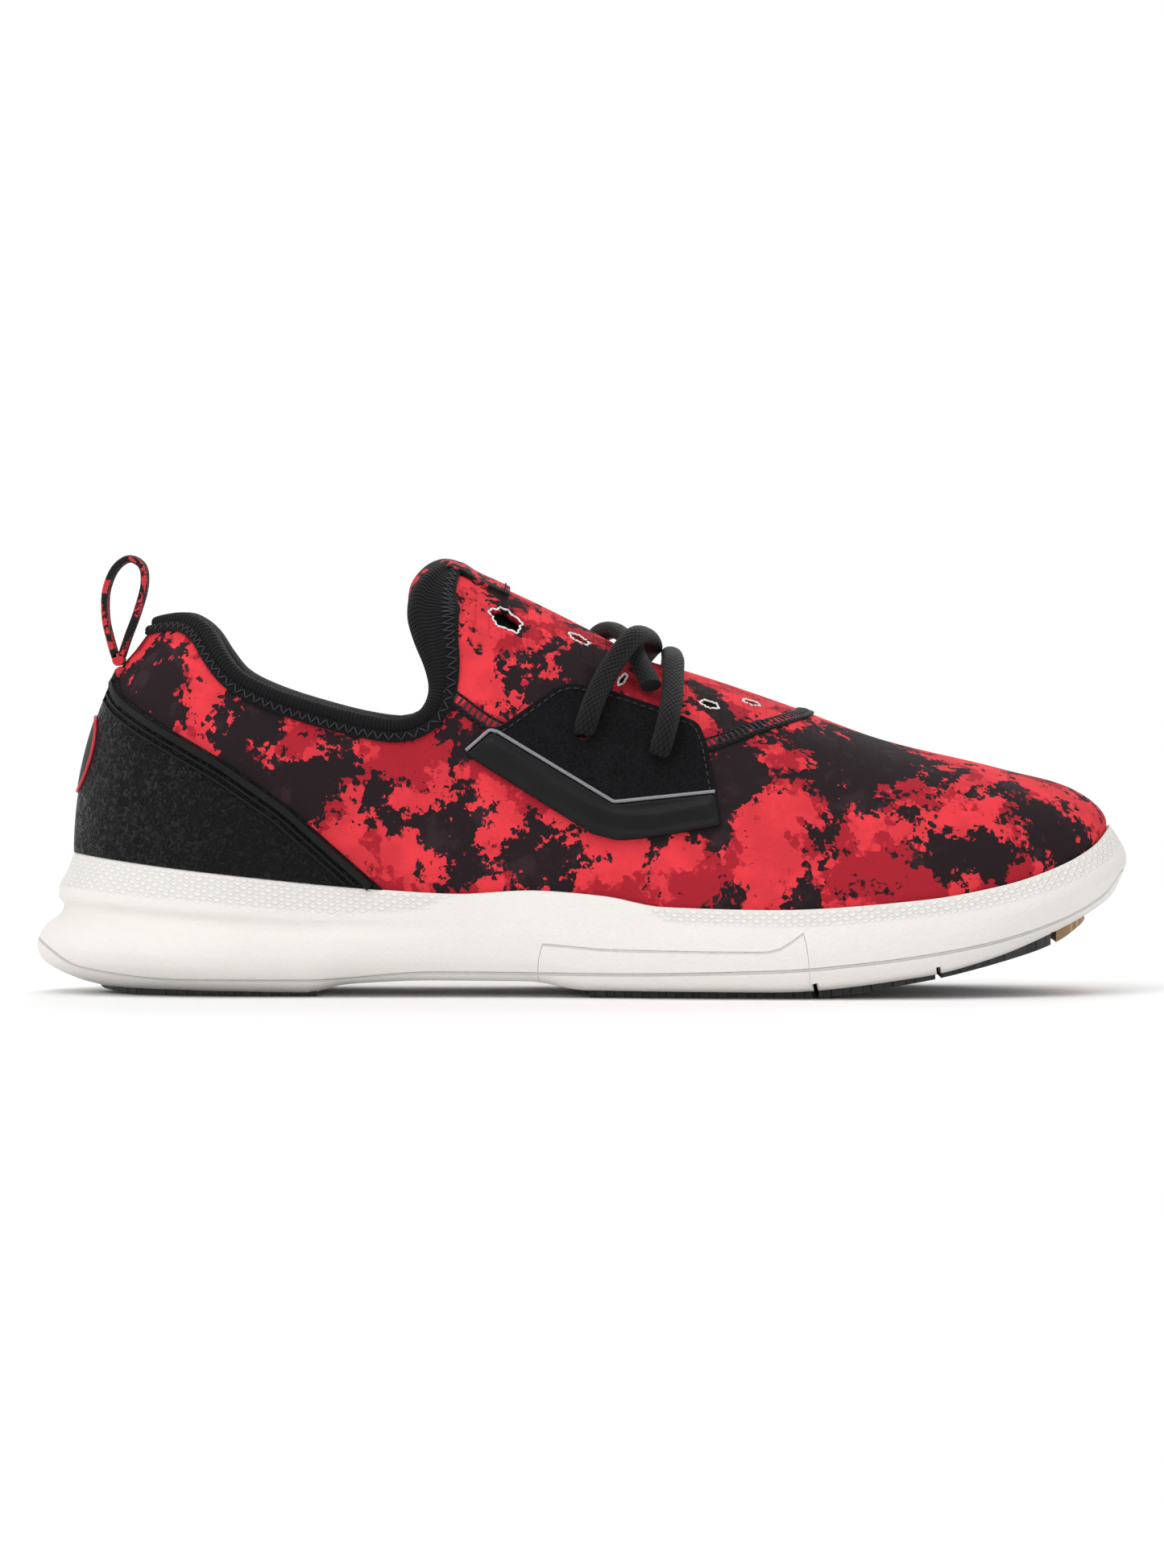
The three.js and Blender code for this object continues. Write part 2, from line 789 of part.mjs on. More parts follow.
function buildHeelOverlay() {
  const seat = layer(featherHeight, clearance, 100, -145, -40);
  const zone = sidePrism([...overlay_edge, [-150, 29], [-150, 89.6]]).intersect(seat);
  addSolid("heel_overlay", sheet(clearance, overlay_wall).intersect(zone), black_leather);

  const trim_low = 2 * clearance + overlay_wall;
  const trim_line = moved(overlay_edge, trim_width / 2 + 0.2).slice(0, -1);
  const foot_of_trim = [-58.5, 31.6];
  const trim = sheet(trim_low, film_wall).intersect(sidePrism(strip([...trim_line, foot_of_trim], trim_width)));
  const clear_of_sole = layer(featherHeight, clearance, 100, -145, -40);
  const outer_half = box([-150 * grade_x, 0], [-100, -3], [0, 130]);
  const inner_half = box([-150 * grade_x, 0], [3, 100], [0, 130]);
  addSolid("heel_trim_outer", trim.intersect(clear_of_sole).intersect(outer_half), black_film);
  addSolid("heel_trim_inner", trim.intersect(clear_of_sole).intersect(inner_half), black_film);

  const badge_half_width = 9.5;
  const badge_half_height = 10.6;
  const badge_centre = 65;
  const ring_width = 1.2;
  const oval = (shrink) => {
    const shape = new THREE.Shape();
    shape.absellipse(0, 0, badge_half_height - shrink, badge_half_width - shrink, 0, 2 * Math.PI);
    const geometry = new THREE.ExtrudeGeometry(shape, { depth: 60, bevelEnabled: false, curveSegments: 20 });
    geometry.rotateY(Math.PI / 2);
    return solid(geometry.translate(-160 * grade_x, 0, badge_centre));
  };
  const plate = sheet(trim_low, badge_wall).intersect(oval(ring_width + clearance));
  addSolid("heel_badge_plate", plate, black_film);
  addSolid("heel_badge_ring", sheet(trim_low, badge_wall * 2).intersect(oval(0).subtract(oval(ring_width))), badge_red);
}

function buildSaddle(side, suffix) {
  const y_low = side < 0 ? -100 : 2;
  const y_high = side < 0 ? -2 : 100;
  let patch = sidePrism(patch_outline, y_low, y_high);
  for (const [x, z] of lace_holes) {
    const radius = lace_diameter / 2 + 2 * clearance;
    const hole = new THREE.CylinderGeometry(radius, radius, 200, 16);
    patch = patch.subtract(solid(hole.translate(x * grade_x, 0, z)));
  }
  addSolid(`saddle_patch_${suffix}`, sheet(clearance, patch_wall).intersect(patch), black_suede);
  const low = 2 * clearance + patch_wall;
  const film_top = moved(line_edge, line_width / 2 + clearance);
  const film = sidePrism([...film_top, ...film_lower_edge], y_low, y_high);
  addSolid(`saddle_film_${suffix}`, sheet(low, film_wall).intersect(film), black_film);
  const line = sidePrism(strip(line_edge, line_width), y_low, y_high);
  addSolid(`saddle_line_${suffix}`, sheet(low, film_wall * 0.75).intersect(line), reflective_grey);
}

// ---------------------------------------------------------------- pull loop
const loop_root_radius = 1.5;
const overlay_top = overlay_edge[0][1];
const loop_root = [-127.3, overlay_top + clearance + loop_root_radius];
const loop_route = [
  [-128.2, 92],
  [-129.4, 96],
  [-130.9, 103],
  [-130.6, 111],
  [-127.8, 117],
  [-124.2, 119.1],
  [-120.9, 117.2],
  [-120.2, 112.5],
  [-122.2, 104.5],
  [-124.8, 97.5],
  [-126.5, 92.4],
];

function buildPullLoop() {
  const centre = along(loop_route, 30);
  const half = loop_width / 2;
  const strap = sidePrism(strip(centre, loop_wall), -half, half);
  const [x, z] = loop_root;
  const root = new THREE.CylinderGeometry(loop_root_radius, loop_root_radius, loop_width, 14);
  addSolid("heel_pull_loop", strap.add(solid(root.translate(x * grade_x, 0, z))), print_dark);
}

// ---------------------------------------------------------------- lace
// Hand-laid routes, outer side first, each from hole to hole over the instep.
const lace_strands = {
  lace_rear_strand: [
    [0.6, -33.9, 72.3],
    [0.7, -36.1, 72.8],
    [1.7, -36.7, 76],
    [4, -33.2, 82.2],
    [8.2, -27.2, 90],
    [14.1, -18.9, 97.6],
    [18.1, -6.6, 97.8],
    [19.3, 2.4, 95.3],
    [18.3, 12.2, 94],
    [13.6, 23, 88.6],
    [7, 30.4, 82],
    [1.7, 32.6, 76.4],
    [0.7, 32, 72.8],
    [0.6, 29.8, 72.3],
  ],
  lace_front_strand: [
    [21, -36.6, 66.8],
    [21.1, -38.9, 67.3],
    [22, -39, 70.2],
    [23.2, -36.4, 74.8],
    [24.4, -28.9, 81],
    [24.9, -17.2, 88.1],
    [25.1, -10.5, 91],
    [24.7, 1, 92.8],
    [24.9, 11, 91.6],
    [24.7, 18.4, 88.4],
    [24, 28.6, 79.9],
    [23.1, 33.4, 74.8],
    [22, 35, 70.4],
    [21.1, 34.8, 67.3],
    [21, 32.4, 66.8],
  ],
  lace_under_strand: [
    [0.5, 23.5, 90.2],
    [4.7, 13.7, 98],
    [9.3, 0.9, 99.3],
    [13, -9.9, 96],
    [16.1, -19.1, 90.3],
    [18.8, -25.5, 84.4],
  ],
};

function buildLace() {
  const section = new THREE.Shape().absarc(0, 0, lace_diameter / 2, 0, 2 * Math.PI);
  for (const [name, points] of Object.entries(lace_strands)) {
    const route = new THREE.CatmullRomCurve3(points.map((point) => new THREE.Vector3(...point)));
    const steps = Math.round(route.getLength() / (1.3 * lace_diameter));
    const options = { steps, curveSegments: 5, extrudePath: route };
    addSolid(name, solid(new THREE.ExtrudeGeometry(section, options)), black_tape);
  }
}

buildSole();
buildFootbed();
buildStiffeners();
buildLiningAndPadding();
buildShell();
buildBinding();
buildHeelOverlay();
buildSaddle(-1, "outer");
buildSaddle(1, "inner");
buildPullLoop();
buildLace();

export default shoe;
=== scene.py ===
# The visual model of a low slip-on trainer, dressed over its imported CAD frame.
# Shapes are worked out in millimetres and turned to metres where a mesh is made.
import math

import bpy
import numpy as np
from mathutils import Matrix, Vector
from mathutils.bvhtree import BVHTree


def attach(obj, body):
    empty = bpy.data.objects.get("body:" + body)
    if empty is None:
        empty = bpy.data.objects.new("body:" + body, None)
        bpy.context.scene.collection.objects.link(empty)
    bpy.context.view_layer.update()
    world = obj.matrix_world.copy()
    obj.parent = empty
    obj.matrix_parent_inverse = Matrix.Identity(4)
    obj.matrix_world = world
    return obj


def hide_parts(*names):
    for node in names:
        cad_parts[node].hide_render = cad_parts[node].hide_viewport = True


bl_info = {
    "name": "Slip-on Trainer Dresser",
    "version": (1, 0, 0),
    "blender": (4, 5, 0),
    "location": "View3D > Sidebar > Trainer",
    "description": "Builds the finished pieces of a slip-on trainer over its CAD frame",
    "category": "Object",
}

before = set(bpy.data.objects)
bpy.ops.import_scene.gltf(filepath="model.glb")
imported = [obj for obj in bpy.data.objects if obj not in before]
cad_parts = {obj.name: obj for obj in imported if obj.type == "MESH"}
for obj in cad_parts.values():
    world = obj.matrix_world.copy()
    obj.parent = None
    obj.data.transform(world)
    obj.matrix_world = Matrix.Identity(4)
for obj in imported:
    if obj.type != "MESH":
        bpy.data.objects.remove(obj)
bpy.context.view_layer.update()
MM = 0.001


# ---------------------------------------------------------------- curves and outlines
def smooth(x, low, high):
    """0 below low, 1 above high, with an eased step between."""
    t = np.clip((np.asarray(x, float) - low) / (high - low), 0, 1)
    return t * t * (3 - 2 * t)


def unit(vectors):
    """The same vectors with length 1."""
    length = np.linalg.norm(vectors, axis=-1, keepdims=True)
    return vectors / np.maximum(length, 1e-12)


def graph(pairs):
    """A smooth function of x through the given pairs, which never overshoots them."""
    xs, ys = np.array(pairs, float).T
    steep = np.diff(ys) / np.diff(xs)
    slope = np.concatenate([steep[:1], np.zeros(len(xs) - 2), steep[-1:]])
    for i in range(1, len(xs) - 1):
        product = steep[i - 1] * steep[i]
        slope[i] = 2 * product / (steep[i - 1] + steep[i]) if product > 0 else 0

    def value(x):
        x = np.asarray(x, float)
        i = np.clip(np.searchsorted(xs, x) - 1, 0, len(xs) - 2)
        span = xs[i + 1] - xs[i]
        t = np.clip((x - xs[i]) / span, 0, 1)
        rise = t * t * (3 - 2 * t)
        bend = slope[i] * t * (1 - t) ** 2 + slope[i + 1] * t * t * (t - 1)
        return ys[i] * (1 - rise) + ys[i + 1] * rise + bend * span

    return value


def spline(points, turns, closed=False):
    """Points at the given turns, 0 to 1, of a centripetal Catmull-Rom curve."""
    points = np.array(points, float)
    if not closed:
        first = 2 * points[0] - points[1]
        last = 2 * points[-1] - points[-2]
        points = np.vstack([first, points, last])
    count = len(points) if closed else len(points) - 3
    at = np.mod(turns, 1) * count if closed else np.clip(turns, 0, 1) * count
    i = np.clip(np.floor(at).astype(int), 0, count - 1)
    w = (at - i)[..., None]
    first = i - 1 if closed else i
    p0, p1, p2, p3 = (points[(first + k) % len(points)] for k in range(4))
    d0, d1, d2 = (
        np.maximum(np.linalg.norm(b - a, axis=-1, keepdims=True), 1e-9) ** 0.5
        for a, b in ((p0, p1), (p1, p2), (p2, p3))
    )
    t1 = ((p1 - p0) / d0 - (p2 - p0) / (d0 + d1) + (p2 - p1) / d1) * d1
    t2 = ((p2 - p1) / d1 - (p3 - p1) / (d1 + d2) + (p3 - p2) / d2) * d1
    square = -3 * p1 + 3 * p2 - 2 * t1 - t2
    cube = 2 * p1 - 2 * p2 + t1 + t2
    return p1 + t1 * w + square * w**2 + cube * w**3


def evenly(points, count, closed=False):
    """The same line through count points spaced evenly along it."""
    points = np.array(points, float)
    if closed:
        points = np.vstack([points, points[:1]])
    run = np.concatenate([[0], np.cumsum(np.linalg.norm(np.diff(points, axis=0), axis=1))])
    marks = np.linspace(0, run[-1], count, endpoint=not closed)
    return np.column_stack([np.interp(marks, run, column) for column in points.T])


def along(points, count):
    """A smooth curve through the points, as count points spaced evenly."""
    return evenly(spline(points, np.linspace(0, 1, 12 * len(points))), count)


def length_of(points):
    """The length of a line of points."""
    return float(np.linalg.norm(np.diff(points, axis=0), axis=1).sum())


def moved(points, distance):
    """The same flat line moved sideways, to the right of its direction of travel."""
    points = np.array(points, float)
    before = np.vstack([points[:1], points[:-1]])
    after = np.vstack([points[1:], points[-1:]])
    run = unit(after - before)
    return points + np.column_stack([run[:, 1], -run[:, 0]]) * distance


def inside(outline, x, z):
    """How far each point lies inside a closed outline; outside it is negative."""
    outline = np.array(outline, float)
    nearest = np.full(np.shape(x), 1e9)
    within = np.zeros(np.shape(x), bool)
    for (ax, az), (bx, bz) in zip(outline, np.roll(outline, -1, axis=0)):
        run = (bx - ax, bz - az)
        size = max(run[0] ** 2 + run[1] ** 2, 1e-12)
        t = np.clip(((x - ax) * run[0] + (z - az) * run[1]) / size, 0, 1)
        nearest = np.minimum(nearest, np.hypot(x - ax - t * run[0], z - az - t * run[1]))
        if az != bz:
            crosses = (az > z) != (bz > z)
            within ^= crosses & (x < ax + (z - az) * (bx - ax) / (bz - az))
    return np.where(within, nearest, -nearest)


# ---------------------------------------------------------------- the last: the upper's surface
FEATHER = [
    (-138.3, 0),
    (-128, -21),
    (-104, -33),
    (-66, -35),
    (-22, -37.5),
    (22, -44.6),
    (62, -47.8),
    (104, -41),
    (133, -24),
    (144.5, 3),
    (136.5, 27),
    (110, 41),
    (64, 47.8),
    (22, 39),
    (-22, 32.5),
    (-66, 32),
    (-104, 31),
    (-128, 20.5),
]
feather_height = graph(
    [
        (-138.3, 38.6),
        (-104, 34.2),
        (-53, 29.2),
        (-33, 28.2),
        (-14, 29.2),
        (6, 27.8),
        (22, 24.9),
        (52, 24.2),
        (91, 26.7),
        (114, 30.6),
        (129, 35.4),
        (139.6, 41),
        (144.5, 45.8),
    ]
)
ridge_height = graph(
    [
        (-140, 115),
        (-95, 115),
        (-70, 121),
        (-50, 120.5),
        (-36, 117),
        (-18, 109.4),
        (8, 96.4),
        (17, 91.4),
        (30, 87.8),
        (57, 78.7),
        (83, 69.2),
        (110, 62.7),
        (122, 59.8),
        (136, 58),
        (145, 56),
    ]
)
floor_height = graph(
    [
        (-138, 22.5),
        (-100, 20.5),
        (-50, 17.5),
        (0, 13),
        (50, 11),
        (80, 12),
        (105, 16.5),
        (125, 23),
        (145, 31),
    ]
)
ridge_station = graph(
    [(-138.3, -90), (-104, -80), (-66, -62), (-22, -22), (62, 60), (104, 95), (132, 112), (144.5, 118)]
)
ridge_side = graph([(-138, 0), (-40, 0), (20, 3), (70, 5), (145, 5)])
fullness = graph([(-138, 1.95), (-104, 2.3), (-60, 2.5), (-22, 2.15), (40, 2.1), (145, 2.2)])
BOTTOM_INSET = 5
BELOW_SWEEP = math.pi / 3


def stations(count):
    """Places around the feather line from the heel, closer together at heel and toe."""
    turn = np.arange(count) / count
    return turn - 0.03 * np.sin(4 * np.pi * turn)


def feather_at(s):
    """The feather line's points in plan and its outward directions."""
    step = 1e-4
    points = spline(FEATHER, s, closed=True)
    run = unit(spline(FEATHER, np.asarray(s) + step, True) - spline(FEATHER, np.asarray(s) - step, True))
    return points, np.stack([run[..., 1], -run[..., 0]], axis=-1)


def skin_point(s, rise):
    """A point of the upper's outer surface: rise 0 at the feather line and 1 on the ridge."""
    s, rise = np.broadcast_arrays(np.asarray(s, float), np.asarray(rise, float))
    foot, _ = feather_at(s)
    other, _ = feather_at(1 - s)
    mean_x = (foot[..., 0] + other[..., 0]) / 2
    top_x = ridge_station(mean_x)
    top_y = ridge_side(top_x)
    power = 2 / fullness(mean_x)
    angle = rise * np.pi / 2
    spread = np.maximum(np.cos(angle), 0) ** power
    lift = np.sin(angle) ** power
    x = top_x + (foot[..., 0] - top_x) * spread
    y = top_y + (foot[..., 1] - top_y) * spread
    low = feather_height(foot[..., 0])
    return np.stack([x, y, low + (ridge_height(x) - low) * lift], axis=-1)


def skin_normal(s, rise):
    """The outward direction of the upper's surface."""
    step = 2e-4
    rise = np.clip(rise, 4 * step, 1 - 4 * step)
    run_s = skin_point(s + step, rise) - skin_point(s - step, rise)
    run_up = skin_point(s, rise + step) - skin_point(s, rise - step)
    return unit(np.cross(run_s, run_up))


class Shape:
    """A surface to be cut: points with normals, named values at each point, and faces."""

    def __init__(self, points, normals, faces, values=None):
        self.points = points
        self.normals = normals
        self.faces = faces
        self.values = values or {}
        self.line = []

    @property
    def x(self):
        return self.points[:, 0]

    @property
    def y(self):
        return self.points[:, 1]

    @property
    def z(self):
        return self.points[:, 2]

    def cut(self, depth, both=False):
        """Cuts the faces where depth is 0 and, unless both, drops what lies where it is negative."""
        depth = np.where(np.abs(depth) < 1e-5, 1e-5, depth)
        kept = depth > 0
        crossings, ends, share, faces, rims = {}, [], [], [], []

        def crossing(a, b):
            key = (min(a, b), max(a, b))
            if key not in crossings:
                crossings[key] = len(depth) + len(ends)
                ends.append(key)
                share.append(depth[key[0]] / (depth[key[0]] - depth[key[1]]))
            return crossings[key]

        for face in self.faces:
            flags = [kept[i] for i in face]
            if all(flags) or (both and not any(flags)):
                faces.append(face)
                continue
            if not any(flags):
                continue
            near, far, cuts = [], [], []
            for k, a in enumerate(face):
                b = face[(k + 1) % len(face)]
                (near if kept[a] else far).append(a)
                if kept[a] != kept[b]:
                    new = crossing(a, b)
                    near.append(new)
                    far.append(new)
                    cuts.append(new)
            faces.append(tuple(near))
            if both:
                faces.append(tuple(far))
            if len(cuts) == 2:
                rims.append((cuts[0], cuts[1]))
        if ends:
            low, high = np.array(ends).T
            t = np.array(share)[:, None]

            def grown(data):
                flat = data.reshape(len(data), -1)
                return np.vstack([flat, flat[low] * (1 - t) + flat[high] * t]).reshape(-1, *data.shape[1:])

        else:

            def grown(data):
                return data

        used = np.unique([i for face in faces for i in face])
        place = np.full(len(depth) + len(ends), -1)
        place[used] = np.arange(len(used))
        shape = Shape(
            grown(self.points)[used],
            unit(grown(self.normals)[used]),
            [tuple(int(place[i]) for i in face) for face in faces],
            {name: grown(data)[used] for name, data in self.values.items()},
        )
        shape.line = chain([(place[a], place[b]) for a, b in rims])
        return shape


def chain(edges):
    """The longest run of joined edges, as point numbers in order."""
    beside = {}
    for a, b in edges:
        beside.setdefault(int(a), []).append(int(b))
        beside.setdefault(int(b), []).append(int(a))
    runs, seen = [], set()
    for start in sorted(beside, key=lambda i: (len(beside[i]) != 1, i)):
        if start in seen:
            continue
        run, here = [], start
        while here is not None:
            run.append(here)
            seen.add(here)
            here = next((i for i in beside[here] if i not in seen), None)
        runs.append(run)
    return max(runs, key=len) if runs else []


def grid_faces(rows, columns, wrap):
    """Quads between the points of a grid numbered row by row."""
    faces = []
    for row in range(rows - 1):
        for i in range(columns if wrap else columns - 1):
            nxt = (i + 1) % columns
            here, above = row * columns, (row + 1) * columns
            faces.append((here + i, above + i, above + nxt, here + nxt))
    return faces


def window(s_low, s_high, rise_low, rise_high, columns, rows):
    """A finely gridded part of the upper's surface."""
    s, rise = np.meshgrid(np.linspace(s_low, s_high, columns), np.linspace(rise_high, rise_low, rows))
    points = skin_point(s, rise).reshape(-1, 3)
    normals = skin_normal(s, rise).reshape(-1, 3)
    return Shape(points, normals, grid_faces(rows, columns, False))


def whole_last(count=300, above=58, below=7):
    """The upper's whole surface, from the ridge down to the floor under the foot."""
    s = stations(count)
    rises = 1 - np.arange(above + 1) / above
    points = [skin_point(s, rise) for rise in rises]
    normals = [skin_normal(s, np.full(count, rise)) for rise in rises]
    foot, out = feather_at(s)
    flat_out = np.column_stack([out, np.zeros(count)])
    high = feather_height(foot[:, 0])
    for row in range(1, below + 1):
        angle = row / below * BELOW_SWEEP
        tuck = BOTTOM_INSET * (1 - math.cos(angle)) / (1 - math.cos(BELOW_SWEEP))
        drop = math.sin(angle) / math.sin(BELOW_SWEEP)
        plan = foot - out * tuck
        floor = floor_height(plan[:, 0])
        points.append(np.column_stack([plan, high + (floor - high) * drop]))
        normals.append(flat_out)
    points, normals = np.vstack(points), np.vstack(normals)
    mirror = (count - np.arange(count)) % count
    ridge = unit(normals[:count] + normals[:count][mirror])
    normals[:count] = ridge
    place = np.arange(len(points))
    far = np.arange(count) > count / 2
    place[:count][far] = mirror[far]
    faces = []
    for face in grid_faces(len(points) // count, count, True):
        joined = [int(place[i]) for i in face]
        faces.append(tuple(dict.fromkeys(joined)))
    shape = Shape(points, normals, faces)
    return shape.cut(np.ones(len(points)))


skin = whole_last()
skin_tree = BVHTree.FromPolygons([tuple(p) for p in skin.points], skin.faces)


def settled(found):
    """The place of a hit on the skin, with a normal blended from its face's corners."""
    place, _, face, _ = found
    corners = list(skin.faces[face])
    place = np.array(place)
    weight = 1 / (np.linalg.norm(skin.points[corners] - place, axis=1) ** 2 + 0.01)
    return place, unit((skin.normals[corners] * weight[:, None]).sum(axis=0))


def snapped(points):
    """The nearest places on the upper's surface and their outward directions."""
    hits = [settled(skin_tree.find_nearest(Vector(p))) for p in points]
    return np.array([h[0] for h in hits]), np.array([h[1] for h in hits])


def from_side(line, side):
    """The places on one side of the upper that a side-view line of x, z falls on."""
    hits = []
    for x, z in line:
        hit = skin_tree.ray_cast(Vector((x, side * 200, z)), Vector((0, -side, 0)))
        if hit[0] is None:
            hit = skin_tree.find_nearest(Vector((x, side * 5, z)))
        hits.append(settled(hit))
    return np.array([h[0] for h in hits]), np.array([h[1] for h in hits])


RIM = along(
    [
        (-145, 100.5),
        (-122, 101),
        (-113, 103.2),
        (-107, 103.6),
        (-102, 100.6),
        (-97.8, 94.2),
        (-93, 88.3),
        (-85, 84),
        (-70, 79),
        (-57, 75.8),
        (-49, 75),
        (-43.3, 77.3),
        (-40.4, 83),
        (-41.3, 90),
        (-44.4, 98),
        (-46.2, 105),
        (-45, 111.6),
        (-41, 116),
        (-36, 118.5),
        (-25, 124),
    ],
    90,
)
rim_height = graph([(-145, 100.5), (-107, 103.6), (-97.8, 94.2), (-85, 84), (-57, 75.8), (-40, 75)])
THROAT_SEAM = along(
    [
        (-46, 90),
        (-40, 85),
        (-33, 79.8),
        (-23.3, 73.2),
        (0, 66),
        (20, 65.4),
        (34.7, 68.6),
        (45.7, 72.3),
        (59.6, 76.3),
        (72, 80.5),
    ],
    60,
)
OVERLAY_EDGE = [(-126.6, 89.6), (-125.4, 81.8), (-116.5, 75.4), (-96.9, 64.1), (-79.9, 52.2), (-53.5, 29)]
PATCH_OUTLINE = [
    (-30.6, 66.8),
    (-24.8, 72.9),
    (-22.2, 73.2),
    (-7.4, 83.8),
    (-3, 85),
    (7.1, 82.9),
    (21.2, 78.1),
    (31.6, 73.9),
    (34, 68.3),
    (36.4, 55.5),
    (37, 47.4),
    (17.7, 44.3),
    (9.8, 43.7),
    (3, 45.5),
    (-12, 54.7),
]
LINE_EDGE = [(-31.4, 66.8), (-25, 72.3), (-22.6, 71.6), (8.7, 52.9), (35.9, 55.5)]
FILM_LOWER_EDGE = [(37.6, 46.5), (17.7, 43.3), (9.8, 42.7), (2.6, 44.5), (-12, 53.6), (-31.9, 66)]
CREASE = [(-24.5, 68.2), (10, 49.2), (35.6, 51.6)]
LACE_HOLES = [(0.6, 72.3), (21, 66.8)]


def above_rim(shape, depth=0):
    """How far points lie above the rim of the foot opening, moved into the shoe by depth."""
    edge = moved(RIM, depth)
    corners = [(edge[-1][0], 200), (edge[0][0], 200)]
    return inside(np.vstack([edge, corners]), shape.x, shape.z)


def above_throat(shape):
    """How far points lie above the seam around the throat panel."""
    return inside(np.vstack([THROAT_SEAM, [(90, 200), (-90, 200), (-90, 91)]]), shape.x, shape.z)


def pad_bulge(points):
    """How far the collar padding pushes the lining inward."""
    under_rim = rim_height(points[:, 0]) - points[:, 2]
    return 3.5 * (1 - smooth(under_rim, 7, 22)) * (1 - smooth(points[:, 0], -66, -48))


# ---------------------------------------------------------------- meshes
def finish_piece(name, points, faces, finish, body, nodes, uvs=None, values=None):
    """Makes a piece from points in millimetres and hands it to the frame."""
    mesh = bpy.data.meshes.new(name)
    mesh.from_pydata((np.asarray(points) * MM).tolist(), [], faces)
    if uvs is not None:
        layer = mesh.uv_layers.new(name="UVMap")
        layer.data.foreach_set("uv", np.asarray(uvs, np.float32).reshape(-1))
    for key, data in (values or {}).items():
        attribute = mesh.attributes.new(key, "FLOAT", "POINT")
        attribute.data.foreach_set("value", np.asarray(data, np.float32))
    mesh.materials.append(finish)
    mesh.validate()
    mesh.shade_smooth()
    piece = bpy.data.objects.new(name, mesh)
    bpy.context.scene.collection.objects.link(piece)
    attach(piece, body)
    if nodes:
        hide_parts(*nodes)
    return piece


def alone(piece):
    """Selects one piece and nothing else, as operators expect."""
    bpy.ops.object.select_all(action="DESELECT")
    piece.select_set(True)
    bpy.context.view_layer.objects.active = piece


def crisp(piece, degrees=40):
    """Smooth shading that leaves edges sharper than the angle crisp."""
    alone(piece)
    bpy.ops.object.shade_smooth_by_angle(angle=math.radians(degrees))


def slab(shape, outer, inner):
    """A closed sheet between two offsets from a surface: its points, faces and values."""
    count = len(shape.points)
    outer = np.broadcast_to(outer, (count,))[:, None]
    inner = np.broadcast_to(inner, (count,))[:, None]
    points = np.vstack([shape.points + shape.normals * outer, shape.points + shape.normals * inner])
    faces = list(shape.faces) + [tuple(i + count for i in reversed(face)) for face in shape.faces]
    open_edges = {}
    for face in shape.faces:
        for k, a in enumerate(face):
            b = face[(k + 1) % len(face)]
            if (b, a) in open_edges:
                del open_edges[(b, a)]
            else:
                open_edges[(a, b)] = True
    faces += [(b, a, a + count, b + count) for a, b in open_edges]
    values = {name: np.tile(data, 2) for name, data in shape.values.items()}
    return points, faces, values


def rounded(depth, wall, radius=0.8):
    """The height of a sheet whose edge is rounded off, at a depth in from the edge."""
    return wall - radius + radius * np.sqrt(np.clip(1 - (1 - np.clip(depth / radius, 0, 1)) ** 2, 0, 1))


def edged(shape, depth, steps=(0.12, 0.35, 0.8)):
    """Adds rows of points along a cut edge, so that it can be rounded. depth is a function."""
    for step in steps:
        shape = shape.cut(depth(shape) - step, both=True)
    return shape


def frames_along(points, up, closed=False):
    """Directions along, across and out from a line whose outward hints are up."""
    if closed:
        run = np.roll(points, -1, axis=0) - np.roll(points, 1, axis=0)
    else:
        run = np.gradient(points, axis=0)
    run = unit(run)
    out = unit(up - run * (up * run).sum(axis=1, keepdims=True))
    return run, np.cross(out, run), out


def sweep(rings, closed=False, capped=True):
    """Faces and texture places for rings of points that follow one another. rings is (n, m, 3)."""
    count, around = rings.shape[:2]
    run = np.linalg.norm(np.diff(rings.mean(axis=1), axis=0), axis=1)
    along_mm = np.concatenate([[0], np.cumsum(run)])
    closing = along_mm[-1] + np.linalg.norm(rings[0].mean(axis=0) - rings[-1].mean(axis=0))
    girth = np.linalg.norm(np.roll(rings[0], -1, axis=0) - rings[0], axis=1)
    across_mm = np.concatenate([[0], np.cumsum(girth)])
    faces, uvs = [], []
    for row in range(count if closed else count - 1):
        nxt = (row + 1) % count
        far = along_mm[nxt] if nxt else closing
        for k in range(around):
            side = (k + 1) % around
            faces.append((row * around + k, row * around + side, nxt * around + side, nxt * around + k))
            near, off = across_mm[k], across_mm[k + 1]
            uvs += [(along_mm[row], near), (along_mm[row], off), (far, off), (far, near)]
    if capped and not closed:
        faces.append(tuple(reversed(range(around))))
        faces.append(tuple(range((count - 1) * around, count * around)))
        uvs += [(along_mm[0], 0)] * around + [(along_mm[-1], 0)] * around
    return rings.reshape(-1, 3), faces, np.array(uvs) * MM


def tube(points, width, height=None, up=None, sides=8, closed=False, taper=False):
    """A round or oval tube along a line, as rings of points."""
    points = np.asarray(points, float)
    if up is None:
        up = np.tile([0.13, 0.21, 0.97], (len(points), 1))
    _, across, out = frames_along(points, up, closed)
    turn = np.arange(sides) / sides * 2 * np.pi
    size = np.ones(len(points))
    if taper:
        size[0] = size[-1] = 0.45
    wide = np.cos(turn)[None, :, None] * across[:, None] * width / 2
    tall = np.sin(turn)[None, :, None] * out[:, None] * (height or width) / 2
    return points[:, None] + (wide + tall) * size[:, None, None]


